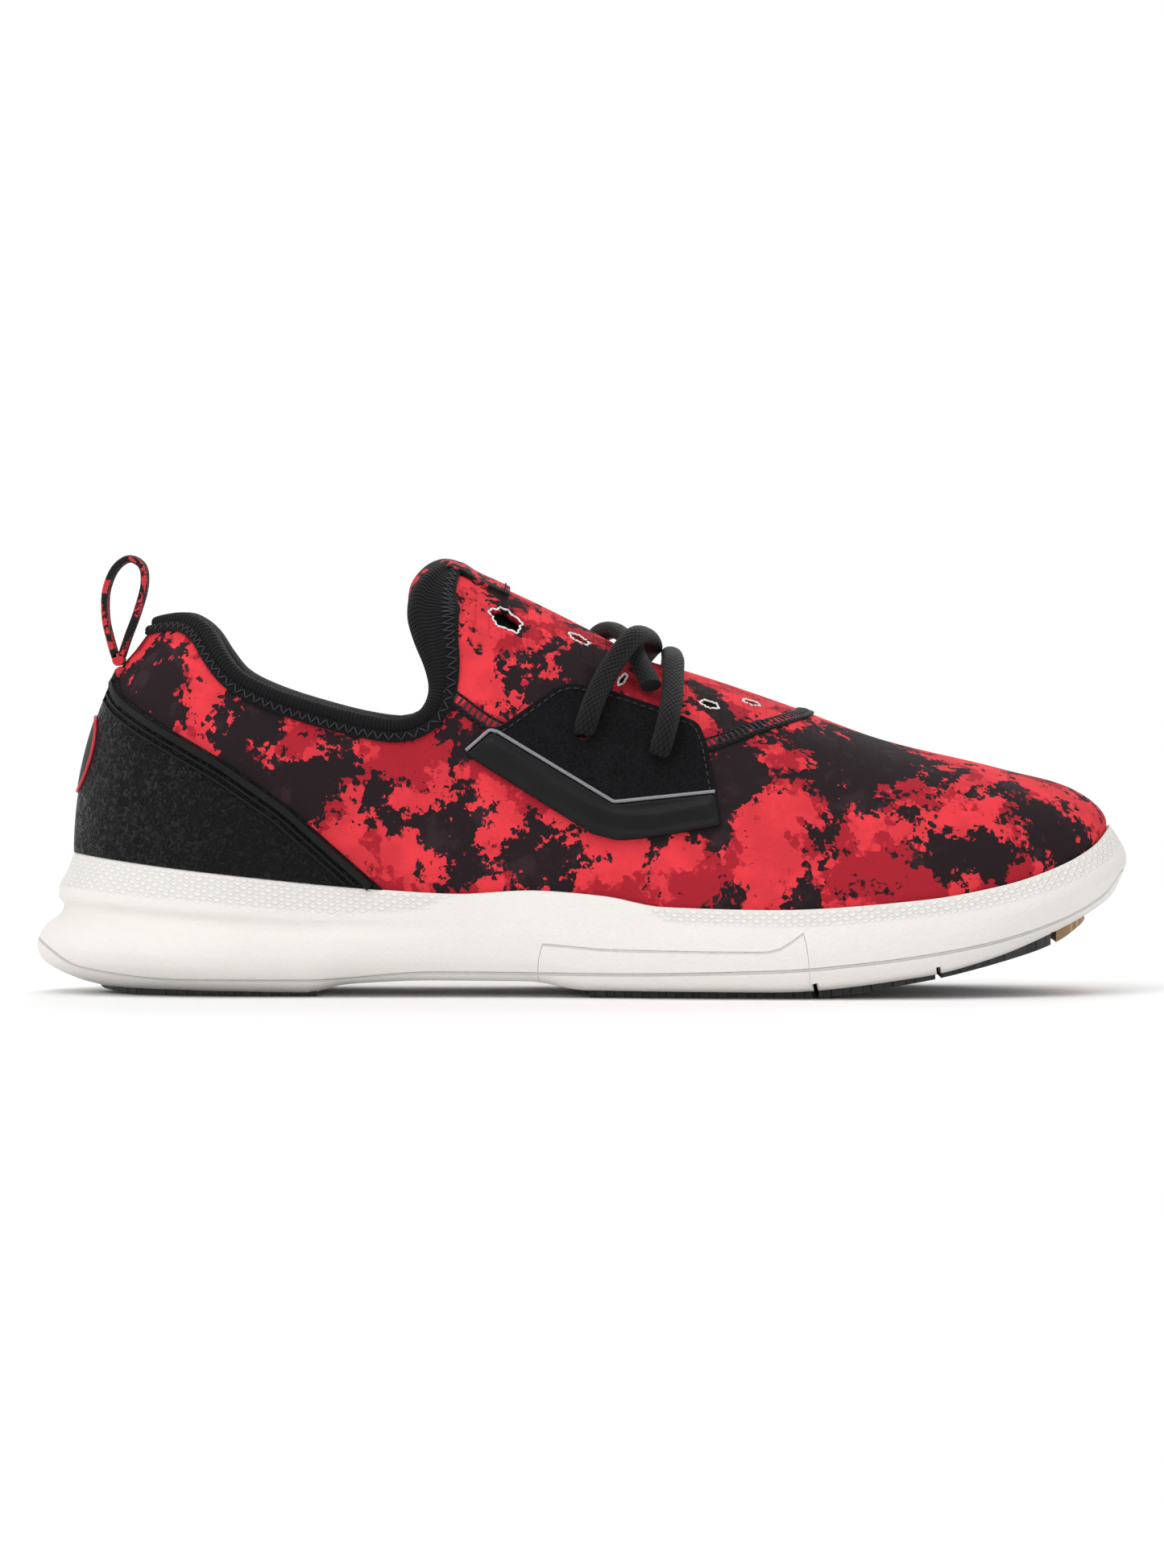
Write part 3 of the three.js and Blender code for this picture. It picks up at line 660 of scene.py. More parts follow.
class Bundle:
    """Many small tubes gathered into one mesh."""

    def __init__(self):
        self.points, self.faces, self.uvs, self.count = [], [], [], 0

    def add(self, rings, closed=False):
        points, faces, uvs = sweep(rings, closed)
        self.points.append(points)
        self.faces += [tuple(i + self.count for i in face) for face in faces]
        self.uvs.append(uvs)
        self.count += len(points)

    def stitch(self, start, end, out, thickness, hump=0.5):
        """One stitch of thread from start to end, with its middle standing out."""
        share = np.array([0, 0.22, 0.5, 0.78, 1])[:, None]
        lift = np.array([-0.35, 0.6, 1, 0.6, -0.35])[:, None] * thickness * hump
        line = start + (end - start) * share + out * lift
        self.add(tube(line, thickness, thickness * 0.8, np.tile(out, (5, 1)), sides=6, taper=True))

    def piece(self, name, finish, body, slot, nodes=()):
        return finish_piece(
            name, np.vstack(self.points), self.faces, finish, body, nodes, np.vstack(self.uvs)
        )


def stitch_row(bundle, line, out, pitch, length, thickness, lift=0.1):
    """A row of lockstitches along a line on the surface."""
    count = max(int(length_of(line) / pitch), 2)
    marks = evenly(line, 2 * count + 1)
    ups = unit(evenly(np.hstack([line, out]), 2 * count + 1)[:, 3:])
    for k in range(count):
        start, end = marks[2 * k], marks[2 * k + 1]
        run = unit(end - start) * length / 2
        middle = (start + end) / 2 + ups[2 * k] * lift
        bundle.stitch(middle - run, middle + run, ups[2 * k], thickness)


# ---------------------------------------------------------------- materials
class Value:
    """A number that varies over a surface. Sums on it add Math nodes."""

    def __init__(self, paint, socket):
        self.paint = paint
        self.socket = socket

    def maths(self, operation, *others):
        values = {i: other for i, other in enumerate((self, *others))}
        return self.paint.node("ShaderNodeMath", {"operation": operation}, values)

    def __add__(self, other):
        return self.maths("ADD", other)

    __radd__ = __add__

    def __sub__(self, other):
        return self.maths("SUBTRACT", other)

    def __rsub__(self, other):
        return self.maths("MULTIPLY_ADD", -1.0, other)

    def __mul__(self, other):
        return self.maths("MULTIPLY", other)

    __rmul__ = __mul__

    def __abs__(self):
        return self.maths("ABSOLUTE")

    def sine(self):
        return self.maths("SINE")

    def most(self, other):
        return self.maths("MAXIMUM", other)

    def step(self, low, high):
        """0 where this is under low and 1 where it is over high, eased between."""
        settings = {"interpolation_type": "SMOOTHSTEP"}
        return self.paint.node("ShaderNodeMapRange", settings, {0: self, 1: low, 2: high})


class Paint:
    """A material whose look is worked out by nodes."""

    def __init__(self, name, **shader_values):
        self.material = bpy.data.materials.new(name)
        self.material.use_nodes = True
        self.tree = self.material.node_tree
        self.shader = self.tree.nodes["Principled BSDF"]
        for key, value in shader_values.items():
            self.shader.inputs[key.replace("_", " ").title().replace("Ior", "IOR")].default_value = value
        self.bumps = None

    def node(self, kind, settings=None, values=None, output=0):
        """A node with its settings, then its sockets' values or links, as its output."""
        node = self.tree.nodes.new(kind)
        for key, value in (settings or {}).items():
            setattr(node, key, value)
        for key, value in (values or {}).items():
            if isinstance(value, Value):
                self.tree.links.new(value.socket, node.inputs[key])
            else:
                node.inputs[key].default_value = value
        return Value(self, node.outputs[output])

    def place(self):
        """The point on the piece, in metres."""
        return self.node("ShaderNodeTexCoord", output="Object")

    def unwrapped(self):
        """The piece's own texture place: along it and across it, in metres."""
        return self.node("ShaderNodeTexCoord", output="UV")

    def attribute(self, name):
        return self.node("ShaderNodeAttribute", {"attribute_name": name}, output="Fac")

    def parts(self, vector):
        """The x, y and z of a vector."""
        split = self.tree.nodes.new("ShaderNodeSeparateXYZ")
        self.tree.links.new(vector.socket, split.inputs[0])
        return [Value(self, output) for output in split.outputs]

    def vector(self, operation, a, b):
        return self.node("ShaderNodeVectorMath", {"operation": operation}, {0: a, 1: b})

    def stretched(self, vector, scale):
        return self.vector("MULTIPLY", vector, scale)

    def noise(self, vector, size, detail=2.0, roughness=0.5, distortion=0.0, output="Fac"):
        """Cloudy noise whose clouds are about size metres across."""
        values = {"Vector": vector, "Scale": 1 / size, "Detail": detail}
        values |= {"Roughness": roughness, "Distortion": distortion}
        return self.node("ShaderNodeTexNoise", None, values, output)

    def cells(self, vector, size, feature="F1", output="Distance", randomness=1.0):
        """Cells about size metres across."""
        values = {"Vector": vector, "Scale": 1 / size, "Randomness": randomness}
        return self.node("ShaderNodeTexVoronoi", {"feature": feature}, values, output)

    def mix(self, factor, a, b, blend="MIX"):
        """Colour a where factor is 0 and b where it is 1."""
        a, b = (c if isinstance(c, Value) else (*c, 1) for c in (a, b))
        settings = {"data_type": "RGBA", "blend_type": blend}
        return self.node("ShaderNodeMix", settings, {0: factor, 6: a, 7: b}, 2)

    def colour(self, value):
        self.tree.links.new(value.socket, self.shader.inputs["Base Color"])

    def roughness(self, value):
        self.tree.links.new(value.socket, self.shader.inputs["Roughness"])

    def bump(self, height, distance, strength=1.0):
        """Adds relief: height 1 stands out by distance metres."""
        values = {"Strength": strength, "Distance": distance, "Height": height}
        if self.bumps is not None:
            values["Normal"] = self.bumps
        self.bumps = self.node("ShaderNodeBump", None, values)
        self.tree.links.new(self.bumps.socket, self.shader.inputs["Normal"])


def finish_named(name):
    """The material of that name, made on first use."""
    full_name = f"trainer_{name}"
    if full_name not in bpy.data.materials:
        FINISHES[name](full_name, bpy.context.scene.trainer_colours)
    return bpy.data.materials[full_name]


def shade(colour, amount):
    """A colour made lighter or darker."""
    return tuple(min(c * amount, 1) for c in colour)


def wave(value, pitch, phase=0.0):
    """A sine wave of that pitch in metres, from 0 to 1."""
    return (value * (2 * math.pi / pitch) + phase).sine() * 0.5 + 0.5


def print_fabric(name, colours):
    """Stretch twill with a ragged blotch print in three tones."""
    paint = Paint(name, roughness=0.85, specular_ior_level=0.16)
    here = paint.place()
    x, y, z = paint.parts(here)
    fleck = paint.cells(here, 0.0016, output="Position")
    ragged = paint.node(
        "ShaderNodeMix", {"data_type": "VECTOR"}, {0: 0.75, 4: here, 5: fleck}, 1
    )
    blots = paint.noise(ragged, 0.031, 6.0, 0.70, 0.35)
    moved_on = paint.vector("ADD", ragged, (0.31, 0.17, 0.23))
    clouds = paint.noise(moved_on, 0.022, 5.0, 0.65, 0.2)
    speckle = paint.noise(here, 0.0016, 3.0, 0.7)
    black_mask = (blots + (speckle - 0.5) * 0.14).step(0.488, 0.498)
    flecks = paint.noise(here, 0.0030, 2.0, 0.5).step(0.29, 0.32)
    black_mask = black_mask * flecks.most(blots.step(0.53, 0.56))
    dark_mask = (clouds + (speckle - 0.5) * 0.10).step(0.50, 0.53)
    soft = paint.noise(here, 0.011, 3.0, 0.6)
    bright = paint.mix(soft.step(0.35, 0.7), shade(colours.print_red, 0.86), shade(colours.print_red, 1.1))
    red = paint.mix(dark_mask, bright, colours.print_deep)
    black = paint.mix(soft.step(0.52, 0.66), colours.print_black, shade(colours.print_black, 1.9))
    base = paint.mix(black_mask, black, red)
    rib = wave(x + z * 0.9 + y * 0.35, 0.00062)
    # Painted twill shading: stripes of darker colour along the ribs that the bump raises.
    paint.colour(paint.mix(rib * 0.22, base, shade(colours.print_black, 0.8)))
    paint.bump(rib, 0.00006, 0.7)
    paint.bump(paint.noise(here, 0.0004, 2.0), 0.00005, 0.5)
    return paint


def knit(name, colours):
    """Black knitted lining."""
    paint = Paint(name, roughness=0.9, specular_ior_level=0.1, sheen_weight=0.06)
    here = paint.place()
    x, y, z = paint.parts(here)
    loops = wave(x + y * 0.3, 0.0011) * wave(z + y * 0.5, 0.0013)
    # Painted highlight on the knit loops' tops and painted shade between them.
    paint.colour(paint.mix(loops, colours.textile_black, shade(colours.textile_black, 2.4)))
    paint.bump(loops, 0.00018, 0.8)
    paint.bump(paint.noise(here, 0.0008, 3.0), 0.0001, 0.5)
    return paint


def tape(name, colours):
    """Ribbed elastic binding tape: fine ribs across its length."""
    paint = Paint(name, roughness=0.78, specular_ior_level=0.14, sheen_weight=0.05)
    u, v, _ = paint.parts(paint.unwrapped())
    here = paint.place()
    ribs = wave(u + paint.noise(here, 0.002) * 0.0003, 0.00105) * 0.85 + wave(v, 0.0007) * 0.15
    # Painted highlight on the rib tops and painted shade between the ribs.
    paint.colour(paint.mix(ribs, shade(colours.textile_black, 0.6), shade(colours.textile_black, 1.8)))
    paint.bump(ribs, 0.0003, 0.9)
    paint.bump(paint.noise(here, 0.005, 2.0), 0.0003, 0.5)
    return paint


def thread(name, colours):
    """Black polyester thread with a twist."""
    paint = Paint(name, roughness=0.5, specular_ior_level=0.18)
    u, v, _ = paint.parts(paint.unwrapped())
    twist = wave(u + v * 0.7, 0.0007)
    # Painted highlight along the thread's twist.
    paint.colour(paint.mix(twist, colours.thread, shade(colours.thread, 2.2)))
    paint.bump(twist, 0.0001, 0.8)
    return paint


def leather(name, colours):
    """Black synthetic leather, strongly pebbled behind and finer forward, with painted highlights on the
    grain tops and painted shade between them.
    """
    paint = Paint(name, roughness=0.45, specular_ior_level=0.15)
    here = paint.place()
    x, _, _ = paint.parts(here)
    wobble = paint.noise(here, 0.0022, 3.0, output="Color")
    bent = paint.vector("ADD", here, paint.stretched(wobble, (0.0022, 0.0022, 0.0022)))
    coarse = paint.cells(bent, 0.0021, "SMOOTH_F1")
    fine = paint.cells(bent, 0.0012, "SMOOTH_F1")
    worms = paint.noise(bent, 0.0014, 1.0, 0.4, 1.4).step(0.38, 0.62)
    forward = x.step(-0.122, -0.09)
    deep = (1 - coarse * 1.1) * 0.6 + worms * 0.5
    shallow = (1 - fine) * 0.45 + worms * 0.22
    grain = deep * (1 - forward) + shallow * forward
    # Painted highlight on the grain tops and painted shade in the valleys between them: the colour runs from
    # 0.3 to 1.9 times the leather's.
    lit_grain_tops = grain.step(0.3, 0.8)
    paint.colour(paint.mix(lit_grain_tops, shade(colours.leather, 0.3), shade(colours.leather, 1.9)))
    paint.roughness(0.52 - lit_grain_tops * 0.22 + paint.noise(here, 0.012, 3.0) * 0.1)
    paint.bump(grain, 0.0014, 1.0)
    paint.bump(paint.noise(here, 0.0004, 2.0), 0.00006, 0.5)
    return paint


def suede(name, colours):
    """Black microsuede with a short nap."""
    paint = Paint(name, roughness=0.93, specular_ior_level=0.07, sheen_weight=0.03)
    here = paint.place()
    nap = paint.noise(here, 0.0007, 4.0, 0.7)
    broad = paint.noise(here, 0.009, 3.0, 0.6)
    # Painted sparkle and painted shade on the nap: the fine flecks run from 0.5 to 1.5 times the suede's
    # colour; the broad patches below are tone at random.
    tone = paint.mix(nap.step(0.35, 0.7), shade(colours.suede, 0.5), shade(colours.suede, 1.5))
    paint.colour(paint.mix(broad.step(0.4, 0.7) * 0.3, tone, shade(colours.suede, 1.5)))
    paint.bump(nap, 0.0002, 0.8)
    return paint


def film(name, colours):
    """Moulded matte black film with a faint orange-peel skin."""
    paint = Paint(name, roughness=0.5, specular_ior_level=0.16)
    here = paint.place()
    peel = paint.noise(here, 0.0009, 2.0)
    broad = paint.noise(here, 0.012, 2.0)
    paint.colour(paint.mix(broad.step(0.3, 0.7), shade(colours.film, 0.85), shade(colours.film, 1.2)))
    paint.roughness(0.42 + peel * 0.16)
    paint.bump(peel, 0.00006, 0.6)
    return paint


def reflective(name, colours):
    """Grey reflective ink, a fine bead finish."""
    paint = Paint(name, roughness=0.35, metallic=0.25)
    beads = paint.cells(paint.place(), 0.0003)
    # Painted glint at each bead's centre and painted shade at its rim.
    paint.colour(paint.mix(beads, shade(colours.reflective, 1.2), shade(colours.reflective, 0.7)))
    paint.bump(beads, 0.00004, 0.6)
    return paint


def badge_red(name, colours):
    """Glossy raised red rubber print."""
    paint = Paint(name, roughness=0.4)
    grain = paint.noise(paint.place(), 0.0012, 3.0)
    paint.colour(paint.mix(grain, shade(colours.badge_red, 0.8), shade(colours.badge_red, 1.15)))
    paint.bump(grain, 0.00005, 0.5)
    return paint


def webbing(name, colours):
    """Narrow woven webbing: printed red marks on a black ground."""
    paint = Paint(name, roughness=0.8, specular_ior_level=0.3)
    u, v, _ = paint.parts(paint.unwrapped())
    here = paint.place()
    weave = wave(u, 0.0011) * 0.6 + wave(v + u * 0.5, 0.0009) * 0.4
    marks = paint.noise(here, 0.0065, 4.0, 0.65, 0.5)
    red = marks.step(0.515, 0.535)
    base = paint.mix(red, colours.textile_black, shade(colours.print_red, 0.8))
    # Painted highlight on the weave's ridges; the red marks are print.
    paint.colour(paint.mix(weave * 0.35, base, shade(colours.textile_black, 1.8)))
    paint.bump(weave, 0.00016, 0.9)
    return paint


def lace_cord(name, colours):
    """Braided black lace: strands crossing in a herringbone, with painted highlights on the strands and
    painted shade between them.
    """
    paint = Paint(name, roughness=0.6, specular_ior_level=0.14, sheen_weight=0.05)
    u, v, _ = paint.parts(paint.unwrapped())
    one, two = wave(u + v * 1.4, 0.0019), wave(u - v * 1.4, 0.0019)
    braid = one.most(two) * 0.6 + one * two * 0.5
    fibre = wave(v * 2 + u, 0.00042)
    # Painted highlight on the strands' crowns and painted shade in the braid's dips: the colour runs from 0.2
    # to 2 times the lace's.
    lit = (braid * 0.75 + fibre * 0.35).step(0.35, 1.0)
    paint.colour(paint.mix(lit, shade(colours.lace, 0.2), shade(colours.lace, 2.0)))
    paint.bump(braid + fibre * 0.2, 0.0004, 0.95)
    return paint


def sole_foam(name, colours):
    """Off-white moulded foam: pebbled, with an embossed band and parting lines."""
    paint = Paint(name, roughness=0.6, subsurface_weight=0.0)
    here = paint.place()
    u, v, _ = paint.parts(paint.unwrapped())
    band = paint.attribute("band")
    parting = abs(paint.attribute("parting"))
    seam = abs(paint.attribute("seam"))
    groove = (1 - parting.step(0.1, 0.5)).most((1 - seam.step(0.08, 0.4)) * 0.7)
    pebble = paint.noise(here, 0.0009, 2.0, 0.55)
    scale_one, scale_two = wave(u + v * 1.7, 0.0034), wave(u - v * 1.7, 0.0034)
    scales = scale_one.step(0.05, 0.3) * scale_two.step(0.05, 0.3) * band
    dirt = paint.noise(here, 0.02, 4.0, 0.6).step(0.45, 0.75)
    base = paint.mix(dirt * 0.35, colours.sole, shade(colours.sole, 0.93))
    # Painted shade in the parting-line and seam grooves: the foam goes down to 0.55 of its colour there.
    paint.colour(paint.mix(groove * 0.45, base, shade(colours.sole, 0.55)))
    paint.roughness(0.55 + pebble * 0.15)
    paint.bump(pebble * (1 - band), 0.00028, 0.9)
    paint.bump(scales, 0.0003, 1.0)
    paint.bump(1 - groove, 0.0006, 0.9)
    return paint


def gum(name, colours):
    """Gum rubber of the toe pad."""
    return tread(name, colours, colours.gum)


def dark_rubber(name, colours):
    """Rubber of the pads that carry the weight, coloured dark as painted shade for the shadow under the
    sole's edge.
    """
    return tread(name, colours, colours.tread)


def tread(name, colours, colour):
    """Tread rubber with a fine wave pattern and painted shade in its valleys."""
    paint = Paint(name, roughness=0.55)
    here = paint.place()
    x, y, _ = paint.parts(here)
    bend = paint.noise(here, 0.06, 1.0) * 0.002
    grooves = wave(x + wave(y, 0.011) * 0.004 + bend, 0.0052).step(0.3, 0.5)
    grit = paint.noise(here, 0.0008, 3.0)
    # Painted shade in the tread's valleys, 0.6 of the rubber's colour.
    paint.colour(paint.mix(grooves, shade(colour, 0.6), colour))
    paint.bump(grooves, 0.0011, 1.0)
    paint.bump(grit, 0.00012, 0.6)
    return paint


def foam(name, colours):
    """Pale open-cell foam."""
    paint = Paint(name, roughness=0.95)
    pores = paint.cells(paint.place(), 0.0009)
    # Painted shade in the pores: their centres go down to 0.7 of the foam's colour.
    paint.colour(paint.mix(pores, shade(colours.foam, 0.7), colours.foam))
    paint.bump(pores, 0.0002, 0.8)
    return paint


def board(name, colours):
    """Fibrous lasting board."""
    paint = Paint(name, roughness=0.9)
    fibre = paint.noise(paint.stretched(paint.place(), (1.0, 3.0, 1.0)), 0.002, 5.0, 0.7)
    paint.colour(paint.mix(fibre, shade(colours.board, 0.8), colours.board))
    paint.bump(fibre, 0.0001, 0.6)
    return paint


def stiffener(name, colours):
    """Tan thermoplastic stiffener sheet."""
    paint = Paint(name, roughness=0.6)
    mottle = paint.noise(paint.place(), 0.004, 4.0, 0.6)
    paint.colour(paint.mix(mottle, shade(colours.stiffener, 0.8), colours.stiffener))
    paint.bump(mottle, 0.0001, 0.5)
    return paint


def raw_edge(name, colours):
    """White cut edge of the fabric, flecked with print."""
    paint = Paint(name, roughness=0.85)
    fuzz = paint.noise(paint.place(), 0.0009, 3.0, 0.7)
    paint.colour(paint.mix(fuzz.step(0.56, 0.62), (0.8, 0.78, 0.77), shade(colours.print_black, 1.5)))
    paint.bump(fuzz, 0.0002, 0.8)
    return paint


def studio_paper(name, colours):
    """Pale studio floor."""
    paint = Paint(name, roughness=0.9)
    mottle = paint.noise(paint.place(), 0.4, 2.0)
    paint.colour(paint.mix(mottle, colours.floor, shade(colours.floor, 0.985)))
    return paint


FINISHES = {
    "print_fabric": print_fabric,
    "knit": knit,
    "tape": tape,
    "thread": thread,
    "leather": leather,
    "suede": suede,
    "film": film,
    "reflective": reflective,
    "badge_red": badge_red,
    "webbing": webbing,
    "lace_cord": lace_cord,
    "sole_foam": sole_foam,
    "gum": gum,
    "dark_rubber": dark_rubber,
    "foam": foam,
    "board": board,
    "stiffener": stiffener,
    "raw_edge": raw_edge,
    "studio_paper": studio_paper,
}


# ---------------------------------------------------------------- sizes and colours a user may change
def length_property(name, description, millimetres):
    return bpy.props.FloatProperty(
        name=name, description=description, default=millimetres * MM, min=0.0, unit="LENGTH"
    )


def colour_property(name, description, red, green, blue):
    def linear(c):
        c = c / 255
        return c / 12.92 if c <= 0.04045 else ((c + 0.055) / 1.055) ** 2.4

    return bpy.props.FloatVectorProperty(
        name=name,
        description=description,
        subtype="COLOR",
        size=3,
        min=0.0,
        max=1.0,
        default=(linear(red), linear(green), linear(blue)),
    )


class TrainerSizes(bpy.types.PropertyGroup):
    """Sizes of the finished pieces."""

    overlay_wall: length_property("Overlay wall", "Thickness of the heel leather", 1.2)
    patch_wall: length_property("Saddle wall", "Thickness of the lace saddle's suede", 1.0)
    film_wall: length_property("Film wall", "Height of the moulded film on the saddle", 0.8)
    trim_width: length_property("Trim width", "Width of the moulded heel trim", 2.6)
    binding_depth: length_property("Binding depth", "How far the collar tape reaches down", 6.0)
    seam_width: length_property("Seam width", "Width of the flatlock seam", 3.4)
    lace_width: length_property("Lace width", "Width of the oval lace", 6.0)
    lace_height: length_property("Lace height", "Thickness of the oval lace", 4.4)
    loop_width: length_property("Loop width", "Width of the heel pull loop", 13.0)
    loop_wall: length_property("Loop wall", "Thickness of the pull loop's webbing", 1.9)
    thread_width: length_property("Thread", "Thickness of the stitching thread", 0.45)


class TrainerColours(bpy.types.PropertyGroup):
    """Colours of the finishes."""

    print_red: colour_property("Print red", "Bright tone of the print", 234, 60, 70)
    print_deep: colour_property("Print deep red", "Dark red tone of the print", 176, 34, 48)
    print_black: colour_property("Print black", "Black tone of the print", 36, 25, 29)
    textile_black: colour_property("Textile black", "Lining and tape", 14, 14, 16)
    thread: colour_property("Thread", "Stitching thread", 40, 40, 45)
    leather: colour_property("Leather", "Heel leather", 20, 19, 21)
    suede: colour_property("Suede", "Lace saddle", 21, 20, 22)
    film: colour_property("Film", "Moulded film", 19, 19, 21)
    reflective: colour_property("Reflective", "Reflective line", 132, 132, 136)
    badge_red: colour_property("Badge red", "Ring on the heel", 190, 30, 42)
    lace: colour_property("Lace", "Braided lace", 20, 20, 22)
    sole: colour_property("Sole", "Moulded sole foam", 232, 229, 224)
    gum: colour_property("Gum", "Toe pad's rubber", 178, 138, 88)
    # Tread is painted shade: the dark colour of the weight-carrying pads stands for the shadow under the
    # sole.
    tread: colour_property("Tread", "Dark rubber of the other pads", 40, 40, 43)
    foam: colour_property("Foam", "Cushion foam", 190, 186, 180)
    board: colour_property("Board", "Lasting board", 226, 222, 212)
    stiffener: colour_property("Stiffener", "Heel counter and toe puff", 200, 176, 138)
    floor: colour_property("Floor", "Studio floor", 246, 246, 246)


# ---------------------------------------------------------------- the stage
CAMERA_LENS = 180
SENSOR = 36
# Height of the view in metres at the distance of the point that the camera is aimed at.
FRAME_HEIGHT_M = 0.4291188
AIM = (0.0, -0.012, 0.0574)
CAMERA_TILT = math.radians(1.2)


class TRAINER_OT_stage(bpy.types.Operator):
    """Sets the camera, the soft lights and the pale floor"""

    bl_idname = "trainer.stage"
    bl_label = "Stage"

    def execute(self, context):
        bpy.ops.object.select_all(action="DESELECT")
        distance = FRAME_HEIGHT_M * CAMERA_LENS / SENSOR
        back = Vector((0, -math.cos(CAMERA_TILT), math.sin(CAMERA_TILT)))
        spot = Vector(AIM) + back * distance
        bpy.ops.object.camera_add(location=spot, rotation=(math.pi / 2 - CAMERA_TILT, 0, 0))
        camera = context.object
        camera.name = "product_camera"
        camera.data.lens = CAMERA_LENS
        camera.data.sensor_width = SENSOR
        camera.data.clip_end = 20
        context.scene.camera = camera

        lights = (
            ("key_softbox", (-0.5, -0.8, 1.2), 0.9, 7.5),
            ("front_fill", (0.7, -1.5, 0.5), 1.2, 3.0),
            ("far_fill", (0.2, 1.1, 0.9), 1.0, 6.0),
            ("heel_strip", (-1.25, -0.2, 0.5), 0.5, 2.0),
            ("top_softbox", (0.1, 0.0, 1.4), 1.2, 7.0),
        )
        for name, place, size, power in lights:
            bpy.ops.object.light_add(type="AREA", location=place)
            light = context.object
            light.name = name
            light.data.size = size
            light.data.energy = power
            aim = Vector((0, 0, 0.05)) - Vector(place)
            light.rotation_euler = aim.to_track_quat("-Z", "Y").to_euler()

        world = bpy.data.worlds.new("studio_light")
        context.scene.world = world
        world.use_nodes = True
        nodes, links = world.node_tree.nodes, world.node_tree.links
        background = nodes["Background"]
        background.inputs["Color"].default_value = (1, 1, 1, 1)
        direction = nodes.new("ShaderNodeTexCoord")
        split = nodes.new("ShaderNodeSeparateXYZ")
        fade = nodes.new("ShaderNodeMapRange")
        fade.interpolation_type = "SMOOTHSTEP"
        for socket, value in zip(fade.inputs[1:5], (0.12, 0.5, 1.0, 0.38)):
            socket.default_value = value
        links.new(direction.outputs["Generated"], split.inputs[0])
        links.new(split.outputs["Z"], fade.inputs[0])
        links.new(fade.outputs[0], background.inputs["Strength"])
        context.scene.view_settings.view_transform = "Standard"

        bpy.ops.mesh.primitive_circle_add(vertices=96, radius=0.75, fill_type="NGON")
        floor = context.object
        floor.name = "studio_floor"
        floor.data.materials.append(finish_named("studio_paper"))
        return {"FINISHED"}


# ---------------------------------------------------------------- laces
LACE_STRANDS = {
    "lace_rear_strand": [
        (0.6, -33.9, 72.3),
        (0.7, -36.1, 72.8),
        (1.7, -36.7, 76),
        (4, -33.2, 82.2),
        (8.2, -27.2, 90),
        (14.1, -18.9, 97.6),
        (18.1, -6.6, 97.8),
        (19.3, 2.4, 95.3),
        (18.3, 12.2, 94),
        (13.6, 23, 88.6),
        (7, 30.4, 82),
        (1.7, 32.6, 76.4),
        (0.7, 32, 72.8),
        (0.6, 29.8, 72.3),
    ],
    "lace_front_strand": [
        (21, -36.6, 66.8),
        (21.1, -38.9, 67.3),
        (22, -39, 70.2),
        (23.2, -36.4, 74.8),
        (24.4, -28.9, 81),
        (24.9, -17.2, 88.1),
        (25.1, -10.5, 91),
        (24.7, 1, 92.8),
        (24.9, 11, 91.6),
        (24.7, 18.4, 88.4),
        (24, 28.6, 79.9),
        (23.1, 33.4, 74.8),
        (22, 35, 70.4),
        (21.1, 34.8, 67.3),
        (21, 32.4, 66.8),
    ],
    "lace_under_strand": [
        (0.5, 23.5, 90.2),
        (4.7, 13.7, 98),
        (9.3, 0.9, 99.3),
        (13, -9.9, 96),
        (16.1, -19.1, 90.3),
        (18.8, -25.5, 84.4),
    ],
}


class TRAINER_OT_laces(bpy.types.Operator):
    """Braids the three lace strands over the instep"""

    bl_idname = "trainer.laces"
    bl_label = "Laces"

    def execute(self, context):
        sizes = context.scene.trainer_sizes
        width, height = sizes.lace_width / MM, sizes.lace_height / MM
        for name, points in LACE_STRANDS.items():
            line = along(points, 90)
            _, up = snapped(line)
            kernel = np.ones(9) / 9
            padded = np.vstack([up[:1]] * 4 + [up] + [up[-1:]] * 4)
            up = unit(np.column_stack([np.convolve(c, kernel, "valid") for c in padded.T]))
            mesh_points, faces, uvs = sweep(tube(line, width, height, up, sides=20))
            cord = finish_piece(
                name, mesh_points, faces, finish_named("lace_cord"), "shoe", [name], uvs
            )
            crisp(cord, 60)
            length_of(line) * MM
        return {"FINISHED"}


# ---------------------------------------------------------------- sole
# How far the sole's side stands out from the feather line, from its top edge to its bottom:
# share of the drop, then at the heel, the waist, the ball and the toe.
SOLE_ROWS = [
    (0, 1.3, 1.3, 1.4, 0.9),
    (0.14, 3.3, 1.9, 2.6, 3.3),
    (0.26, 5.6, 2.4, 3.6, 5),
    (0.32, 5.7, 2.6, 4.1, 5.4),
    (0.385, 4.2, 2.8, 4.5, 5.5),
    (0.45, 5.2, 3, 4.8, 5),
    (0.51, 8.6, 3.1, 5, 4.4),
    (0.6, 11, 3.1, 5.1, 3.4),
    (0.68, 11.7, 3, 5, 2.4),
    (0.76, 10.8, 2.7, 4.8, 1),
    (0.83, 7.6, 2, 4.2, -1.2),
    (0.93, -1, 0.4, 2.8, -5),
    (1, -12, -4, -2, -9),
]
sole_bottom = graph(
    [
        (-138.3, 0.7),
        (-76, 0.7),
        (-64, 3.4),
        (-40, 4.5),
        (-15, 4.4),
        (0, 2.1),
        (52, 1.9),
        (92, 5.9),
        (113, 10.6),
        (129, 15.3),
        (144.5, 20),
    ]
)
parting_height = graph(
    [
        (-150, 15.4),
        (-136, 7.6),
        (-108, 4.6),
        (-73, 4.6),
        (-40, 6.8),
        (3, 6.6),
        (52, 7.7),
        (76, 9.7),
        (106, 14.1),
        (128, 20),
        (143, 27.5),
        (148, 33.5),
    ]
)
